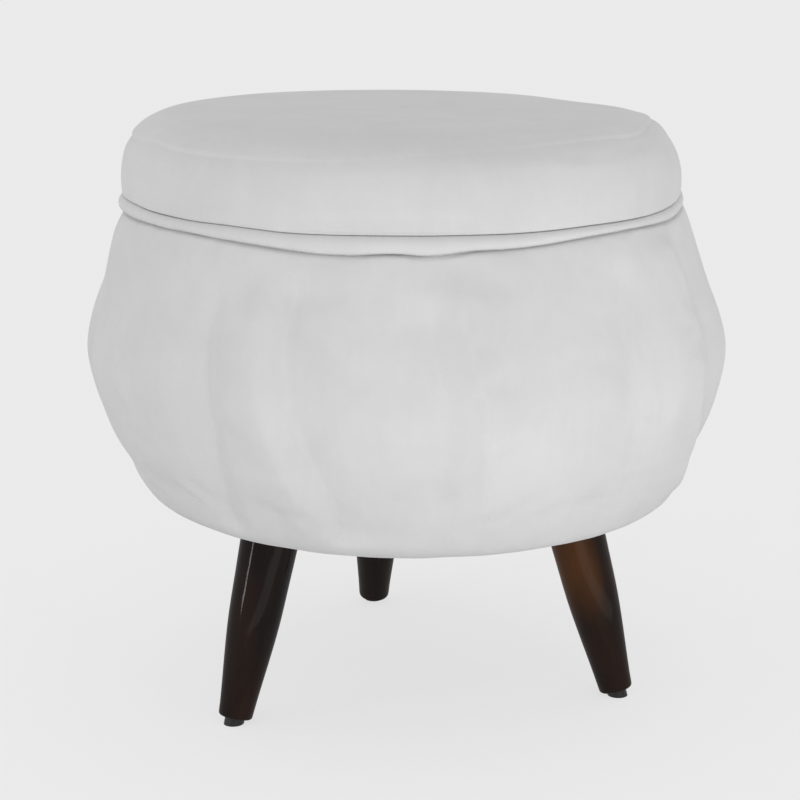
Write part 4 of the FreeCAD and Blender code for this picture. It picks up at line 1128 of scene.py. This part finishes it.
def row_tree():
    """A node tree that sets small arched bars, such as stitches or staple crowns, end to end
    round a level ring, each turned a little at random."""
    if "row_round_a_ring" in bpy.data.node_groups:
        return bpy.data.node_groups["row_round_a_ring"]
    tree = bpy.data.node_groups.new("row_round_a_ring", "GeometryNodeTree")
    tree.interface.new_socket("Geometry", in_out="OUTPUT", socket_type="NodeSocketGeometry")
    for name in ("Ring radius", "Height", "Crown", "Wire", "Rise", "Wobble"):
        grown_input(tree, name, "NodeSocketFloat", 0.01)
    for name in ("Count", "Seed"):
        grown_input(tree, name, "NodeSocketInt", 12)
    grown_input(tree, "Material", "NodeSocketMaterial")
    given = add(tree, "NodeGroupInput").outputs
    ring = add(tree, "GeometryNodeCurvePrimitiveCircle", {"Resolution": given["Count"],
                                                          "Radius": given["Ring radius"]})
    lift = add(tree, "ShaderNodeCombineXYZ", {2: given["Height"]})
    raised = add(tree, "GeometryNodeTransform", {"Geometry": ring.outputs[0],
                                                 "Translation": lift.outputs[0]})
    half = add(tree, "ShaderNodeMath", {0: given["Crown"], 1: 0.5}, operation="MULTIPLY")
    back = add(tree, "ShaderNodeMath", {0: half.outputs[0], 1: -1.0}, operation="MULTIPLY")
    start = add(tree, "ShaderNodeCombineXYZ", {0: back.outputs[0]})
    end = add(tree, "ShaderNodeCombineXYZ", {0: half.outputs[0]})
    wire = add(tree, "GeometryNodeCurvePrimitiveLine", {"Start": start.outputs[0],
                                                        "End": end.outputs[0]})
    stepped = add(tree, "GeometryNodeResampleCurve", {"Curve": wire.outputs[0], "Count": 5})
    place = add(tree, "GeometryNodeInputPosition")
    apart = add(tree, "ShaderNodeSeparateXYZ", {0: place.outputs[0]})
    share = add(tree, "ShaderNodeMath", {0: apart.outputs[0], 1: half.outputs[0]},
                operation="DIVIDE")
    square = add(tree, "ShaderNodeMath", {0: share.outputs[0], 1: 2.0}, operation="POWER")
    arch = add(tree, "ShaderNodeMath", {0: 1.0, 1: square.outputs[0]}, operation="SUBTRACT")
    height = add(tree, "ShaderNodeMath", {0: arch.outputs[0], 1: given["Rise"]},
                 operation="MULTIPLY")
    offset = add(tree, "ShaderNodeCombineXYZ", {2: height.outputs[0]})
    arched = add(tree, "GeometryNodeSetPosition", {"Geometry": stepped.outputs[0],
                                                   "Offset": offset.outputs[0]})
    thick = add(tree, "ShaderNodeMath", {0: given["Wire"], 1: 0.5}, operation="MULTIPLY")
    section = add(tree, "GeometryNodeCurvePrimitiveCircle", {"Resolution": 6,
                                                             "Radius": thick.outputs[0]})
    bar = add(tree, "GeometryNodeCurveToMesh", {"Curve": arched.outputs[0],
                                                "Profile Curve": section.outputs[0],
                                                "Fill Caps": True})
    smooth = add(tree, "GeometryNodeSetShadeSmooth", {"Geometry": bar.outputs[0]})
    less = add(tree, "ShaderNodeMath", {0: given["Wobble"], 1: -1.0}, operation="MULTIPLY")
    wobble = add(tree, "FunctionNodeRandomValue", {2: less.outputs[0], 3: given["Wobble"],
                                                   "Seed": given["Seed"]}, data_type="FLOAT")
    tangent = add(tree, "GeometryNodeInputTangent")
    aligned = add(tree, "FunctionNodeAlignRotationToVector", {"Vector": tangent.outputs[0]},
                  axis="X")
    turn = add(tree, "ShaderNodeCombineXYZ", {2: wobble.outputs[1]})
    turned_by = add(tree, "FunctionNodeEulerToRotation", {0: turn.outputs[0]})
    rotation = add(tree, "FunctionNodeRotateRotation", {0: aligned.outputs[0],
                                                        1: turned_by.outputs[0]},
                   rotation_space="LOCAL")
    row = add(tree, "GeometryNodeInstanceOnPoints", {"Points": raised.outputs[0],
                                                     "Instance": smooth.outputs[0],
                                                     "Rotation": rotation.outputs[0]})
    real = add(tree, "GeometryNodeRealizeInstances", {0: row.outputs[0]})
    dressed = add(tree, "GeometryNodeSetMaterial", {"Geometry": real.outputs[0],
                                                    "Material": given["Material"]})
    add(tree, "NodeGroupOutput", {0: dressed.outputs[0]})
    return tree


def screw_tree():
    """A node tree that sets countersunk cross-recess screws at the four corners of each of a
    ring of square plates, every recess turned at random."""
    tree = bpy.data.node_groups.new("screws_of_a_ring_of_plates", "GeometryNodeTree")
    tree.interface.new_socket("Geometry", in_out="OUTPUT", socket_type="NodeSocketGeometry")
    for name in ("Plate ring", "Spacing", "Height", "Head radius", "Head height", "First turn"):
        grown_input(tree, name, "NodeSocketFloat", 0.01)
    for name in ("Plates", "Seed"):
        grown_input(tree, name, "NodeSocketInt", 3)
    grown_input(tree, "Material", "NodeSocketMaterial")
    given = add(tree, "NodeGroupInput").outputs
    centres = add(tree, "GeometryNodeMeshCircle", {"Vertices": given["Plates"],
                                                   "Radius": given["Plate ring"]})
    first = add(tree, "ShaderNodeCombineXYZ", {2: given["First turn"]})
    faced = add(tree, "GeometryNodeTransform", {"Geometry": centres.outputs[0],
                                                "Rotation": first.outputs[0]})
    grid = add(tree, "GeometryNodeMeshGrid", {"Size X": given["Spacing"],
                                              "Size Y": given["Spacing"],
                                              "Vertices X": 2, "Vertices Y": 2})
    place = add(tree, "GeometryNodeInputPosition")
    outward = add(tree, "FunctionNodeAlignRotationToVector", {"Vector": place.outputs[0]},
                  axis="X")
    corners = add(tree, "GeometryNodeInstanceOnPoints", {"Points": faced.outputs[0],
                                                         "Instance": grid.outputs[0],
                                                         "Rotation": outward.outputs[0]})
    spots = add(tree, "GeometryNodeRealizeInstances", {0: corners.outputs[0]})
    lift = add(tree, "ShaderNodeCombineXYZ", {2: given["Height"]})
    raised = add(tree, "GeometryNodeTransform", {"Geometry": spots.outputs[0],
                                                 "Translation": lift.outputs[0]})
    neck = add(tree, "ShaderNodeMath", {0: given["Head radius"], 1: 0.5}, operation="MULTIPLY")
    head = add(tree, "GeometryNodeMeshCone", {"Vertices": 24, "Radius Top": neck.outputs[0],
                                              "Radius Bottom": given["Head radius"],
                                              "Depth": given["Head height"]})
    wide = add(tree, "ShaderNodeMath", {0: given["Head radius"], 1: 1.15}, operation="MULTIPLY")
    narrow = add(tree, "ShaderNodeMath", {0: given["Head radius"], 1: 0.24},
                 operation="MULTIPLY")
    deep = add(tree, "ShaderNodeMath", {0: given["Head height"], 1: 1.1}, operation="MULTIPLY")
    slot_size = add(tree, "ShaderNodeCombineXYZ", {0: wide.outputs[0], 1: narrow.outputs[0],
                                                   2: deep.outputs[0]})
    cross_size = add(tree, "ShaderNodeCombineXYZ", {0: narrow.outputs[0], 1: wide.outputs[0],
                                                    2: deep.outputs[0]})
    slot = add(tree, "GeometryNodeMeshCube", {"Size": slot_size.outputs[0]})
    cross = add(tree, "GeometryNodeMeshCube", {"Size": cross_size.outputs[0]})
    cut = add(tree, "GeometryNodeMeshBoolean", {0: head.outputs[0]}, operation="DIFFERENCE")
    tree.links.new(slot.outputs[0], cut.inputs[1])
    tree.links.new(cross.outputs[0], cut.inputs[1])
    turn = add(tree, "FunctionNodeRandomValue", {2: 0.0, 3: 1.57, "Seed": given["Seed"]},
               data_type="FLOAT")
    about = add(tree, "ShaderNodeCombineXYZ", {2: turn.outputs[1]})
    screws = add(tree, "GeometryNodeInstanceOnPoints", {"Points": raised.outputs[0],
                                                        "Instance": cut.outputs[0],
                                                        "Rotation": about.outputs[0]})
    real = add(tree, "GeometryNodeRealizeInstances", {0: screws.outputs[0]})
    dressed = add(tree, "GeometryNodeSetMaterial", {"Geometry": real.outputs[0],
                                                    "Material": given["Material"]})
    add(tree, "NodeGroupOutput", {0: dressed.outputs[0]})
    return tree


def grow(name, tree, inputs):
    """Runs a node tree and keeps its result as a plain mesh."""
    piece = new_piece(name, bpy.data.meshes.new(name))
    growth = piece.modifiers.new("growth", "NODES")
    growth.node_group = tree
    for item in tree.interface.items_tree:
        if item.in_out == "INPUT" and item.name in inputs:
            growth[item.identifier] = inputs[item.name]
    result = piece.evaluated_get(bpy.context.evaluated_depsgraph_get())
    mesh = bpy.data.meshes.new_from_object(result)
    piece.modifiers.remove(growth)
    piece.data = mesh
    mesh.name = name
    if not mesh.polygons:
        raise RuntimeError(f"{name} came out empty")
    return piece


class POUF_OT_staples(Operator):
    """Staples of the drum's hem, the dust cover and the lid's hem"""
    bl_idname = "pouf.staples"
    bl_label = "Staples"
    bl_options = {"REGISTER", "UNDO"}

    def execute(self, context):
        trim = context.scene.pouf_trim
        for node, count, body, seed in (("hem_staples", 24, "drum", 1),
                                        ("dust_cover_staples", 24, "drum", 2),
                                        ("lid_staples", 30, "lid", 3)):
            low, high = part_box(node)
            ring = high.x - 0.00035
            piece = grow(f"{node}_row", row_tree(), {
                "Ring radius": ring, "Height": low.z + 0.0001, "Count": count,
                "Crown": trim.staple, "Wire": trim.wire, "Rise": 0.0, "Wobble": 0.1,
                "Seed": seed, "Material": finish("zinc")})
            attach(piece, body)
            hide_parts(node)
        return {"FINISHED"}


class POUF_OT_hardware(Operator):
    """Cross-recess screws of the leg plates, and the finish of all other hard parts"""
    bl_idname = "pouf.hardware"
    bl_label = "Plates, bolts, screws, glides and frame"
    bl_options = {"REGISTER", "UNDO"}

    def execute(self, context):
        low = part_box("leg_plate_screws")[0]
        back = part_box("leg_plate_back")
        screws = grow("leg_plate_screw_heads", screw_tree(), {
            "Plate ring": (back[0].y + back[1].y) / 2, "Spacing": 0.048,
            "Height": low.z, "Head radius": 0.004, "Head height": 0.0022,
            "First turn": math.radians(90), "Plates": 3, "Seed": 6,
            "Material": finish("zinc")})
        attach(screws, "drum")
        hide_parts("leg_plate_screws")
        finishes = {"base_board": "plywood", "top_hoop": "plywood", "lid_board": "plywood",
                    "lid_locator": "plywood", "drum_wall": "hardboard",
                    "frame_screws_bottom": "zinc", "frame_screws_top": "zinc",
                    "locator_screws": "zinc"}
        finishes.update({f"post_{n}": "pine" for n in range(1, 7)})
        for side in LEG_ANGLES:
            finishes.update({f"leg_plate_{side}": "plate", f"hanger_bolt_{side}": "zinc",
                             f"glide_{side}": "nylon"})
        for node, look in finishes.items():
            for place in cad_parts[node].material_slots:
                place.material = finish(look)
        return {"FINISHED"}


# Stage


class POUF_OT_stage(Operator):
    """Camera at the photograph's angle, plain floor, backdrop and soft light"""
    bl_idname = "pouf.stage"
    bl_label = "Stage"
    bl_options = {"REGISTER", "UNDO"}

    def execute(self, context):
        stage = context.scene.pouf_stage
        scene = context.scene
        scene.view_settings.view_transform = "Standard"
        back = Vector((math.sin(stage.azimuth) * math.cos(stage.pitch),
                       -math.cos(stage.azimuth) * math.cos(stage.pitch), math.sin(stage.pitch)))
        right = Vector((math.cos(stage.azimuth), math.sin(stage.azimuth), 0))
        data = bpy.data.cameras.new("photograph")
        data.lens, data.sensor_width = stage.lens, 36
        camera = bpy.data.objects.new("photograph", data)
        scene.collection.objects.link(camera)
        aim = right * stage.aim_side + Vector((0, 0, stage.aim_height))
        turn = (-back).to_track_quat("-Z", "Y").to_matrix().to_4x4()
        camera.matrix_world = (Matrix.Translation(aim + back * stage.distance) @ turn
                               @ Matrix.Rotation(stage.roll, 4, "Z"))
        scene.camera = camera

        # Uniform light for the object, and the backdrop's grey where the eye meets it
        world = bpy.data.worlds.new("studio")
        world.use_nodes = True
        scene.world = world
        tree = world.node_tree
        tree.nodes.clear()
        path = add(tree, "ShaderNodeLightPath").outputs
        seen = add(tree, "ShaderNodeMath", {0: path["Is Camera Ray"], 1: path["Is Glossy Ray"]},
                   operation="MAXIMUM")
        seen = add(tree, "ShaderNodeMath", {0: seen.outputs[0],
                                            1: path["Is Transmission Ray"]},
                   operation="MAXIMUM")
        fill = add(tree, "ShaderNodeBackground", {"Color": (1, 1, 1, 1), "Strength": stage.fill})
        view = add(tree, "ShaderNodeBackground", {"Color": (*stage.backdrop, 1),
                                                  "Strength": 1.0})
        mixed = add(tree, "ShaderNodeMixShader", {0: seen.outputs[0], 1: fill.outputs[0],
                                                  2: view.outputs[0]})
        add(tree, "ShaderNodeOutputWorld", {"Surface": mixed.outputs[0]})

        # Two soft boxes, on the front right and on the left, and a panel that lies in front of
        # the picture and lights the underside of the belly: degrees to the right of the camera,
        # watts, distance, height, width and length
        for name, side, watts, reach, height, wide, tall in (
                ("key", 32, stage.key, 1.7, 0.30, 0.1, 0.42),
                ("side", -62, stage.side, 1.6, 0.30, 0.13, 0.42),
                ("low", 26, stage.low, 0.74, 0.003, 1.3, 0.6)):
            lamp = bpy.data.lights.new(name, "AREA")
            lamp.energy, lamp.shape, lamp.size, lamp.size_y = watts, "RECTANGLE", wide, tall
            bearing = stage.azimuth + math.radians(side)
            away = Vector((math.sin(bearing), -math.cos(bearing), 0))
            pitch = math.radians(180 if name == "low" else 90)
            holder = bpy.data.objects.new(name, lamp)
            holder.matrix_world = (Matrix.Translation(away * reach + Vector((0, 0, height)))
                                   @ Matrix.Rotation(bearing, 4, "Z")
                                   @ Matrix.Rotation(pitch, 4, "X"))
            scene.collection.objects.link(holder)

        work = bmesh.new()
        bmesh.ops.create_circle(work, cap_ends=True, segments=96, radius=60)
        mesh = bpy.data.meshes.new("studio_floor")
        work.to_mesh(mesh)
        work.free()
        material = bpy.data.materials.new("matt_studio_paper")
        material.use_nodes = True
        tree = material.node_tree
        tree.nodes.clear()
        # Seamless paper: flat, matt and pale. The eye meets a greyer share of it, whose own
        # light tops it up to the backdrop's grey, and the object's shadow stays in that share.
        path = add(tree, "ShaderNodeLightPath").outputs
        seen = add(tree, "ShaderNodeMath", {0: path["Is Camera Ray"], 1: path["Is Glossy Ray"]},
                   operation="MAXIMUM")
        seen = add(tree, "ShaderNodeMath", {0: seen.outputs[0],
                                            1: path["Is Transmission Ray"]},
                   operation="MAXIMUM")
        lit = stage.fill * 1.04
        glow = [max(0.0, b - f * lit) for b, f in zip(stage.backdrop, stage.floor_grey)]
        grey = add(tree, "ShaderNodeMix", {0: seen.outputs[0], 6: (*stage.paper, 1),
                                           7: (*stage.floor_grey, 1)}, data_type="RGBA")
        matt = add(tree, "ShaderNodeBsdfDiffuse", {"Color": grey.outputs[2]})
        own = add(tree, "ShaderNodeEmission", {"Color": (*glow, 1), "Strength": seen.outputs[0]})
        both = add(tree, "ShaderNodeAddShader", {0: matt.outputs[0], 1: own.outputs[0]})
        add(tree, "ShaderNodeOutputMaterial", {"Surface": both.outputs[0]})
        floor = new_piece("studio_floor", mesh, material)
        return {"FINISHED"}


# Add-on


OPERATORS = (POUF_OT_stage, POUF_OT_drum_cover, POUF_OT_piping, POUF_OT_rim_facing,
             POUF_OT_storage_lining, POUF_OT_lid_cushion, POUF_OT_lid_lining,
             POUF_OT_dust_cover, POUF_OT_legs, POUF_OT_staples, POUF_OT_hardware)
SETTINGS = {"pouf_cover": CoverSettings, "pouf_lid": LidSettings, "pouf_trim": TrimSettings,
            "pouf_legs": LegSettings, "pouf_finish": FinishSettings,
            "pouf_stage": StageSettings}


class POUF_PT_sidebar(Panel):
    """Pieces of the pouf and the values that they are made from"""
    bl_idname = "POUF_PT_sidebar"
    bl_label = "Round pouf"
    bl_space_type = "VIEW_3D"
    bl_region_type = "UI"
    bl_category = "Pouf"

    def draw(self, context):
        for made in OPERATORS:
            self.layout.operator(made.bl_idname)
        for name, group in SETTINGS.items():
            box = self.layout.box()
            box.label(text=name.replace("pouf_", "").capitalize())
            for key in group.__annotations__:
                box.prop(getattr(context.scene, name), key)


def register():
    for group in SETTINGS.values():
        bpy.utils.register_class(group)
    for name, group in SETTINGS.items():
        setattr(bpy.types.Scene, name, PointerProperty(type=group))
    for made in OPERATORS + (POUF_PT_sidebar,):
        bpy.utils.register_class(made)


def unregister():
    for made in reversed(OPERATORS + (POUF_PT_sidebar,)):
        bpy.utils.unregister_class(made)
    for name, group in SETTINGS.items():
        delattr(bpy.types.Scene, name)
        bpy.utils.unregister_class(group)


def main():
    register()
    for made in OPERATORS:
        step = made.bl_idname.split(".")[1]
        if getattr(bpy.ops.pouf, step)() != {"FINISHED"}:
            raise RuntimeError(f"{made.bl_label} was not finished")


if __name__ == "__main__":
    main()
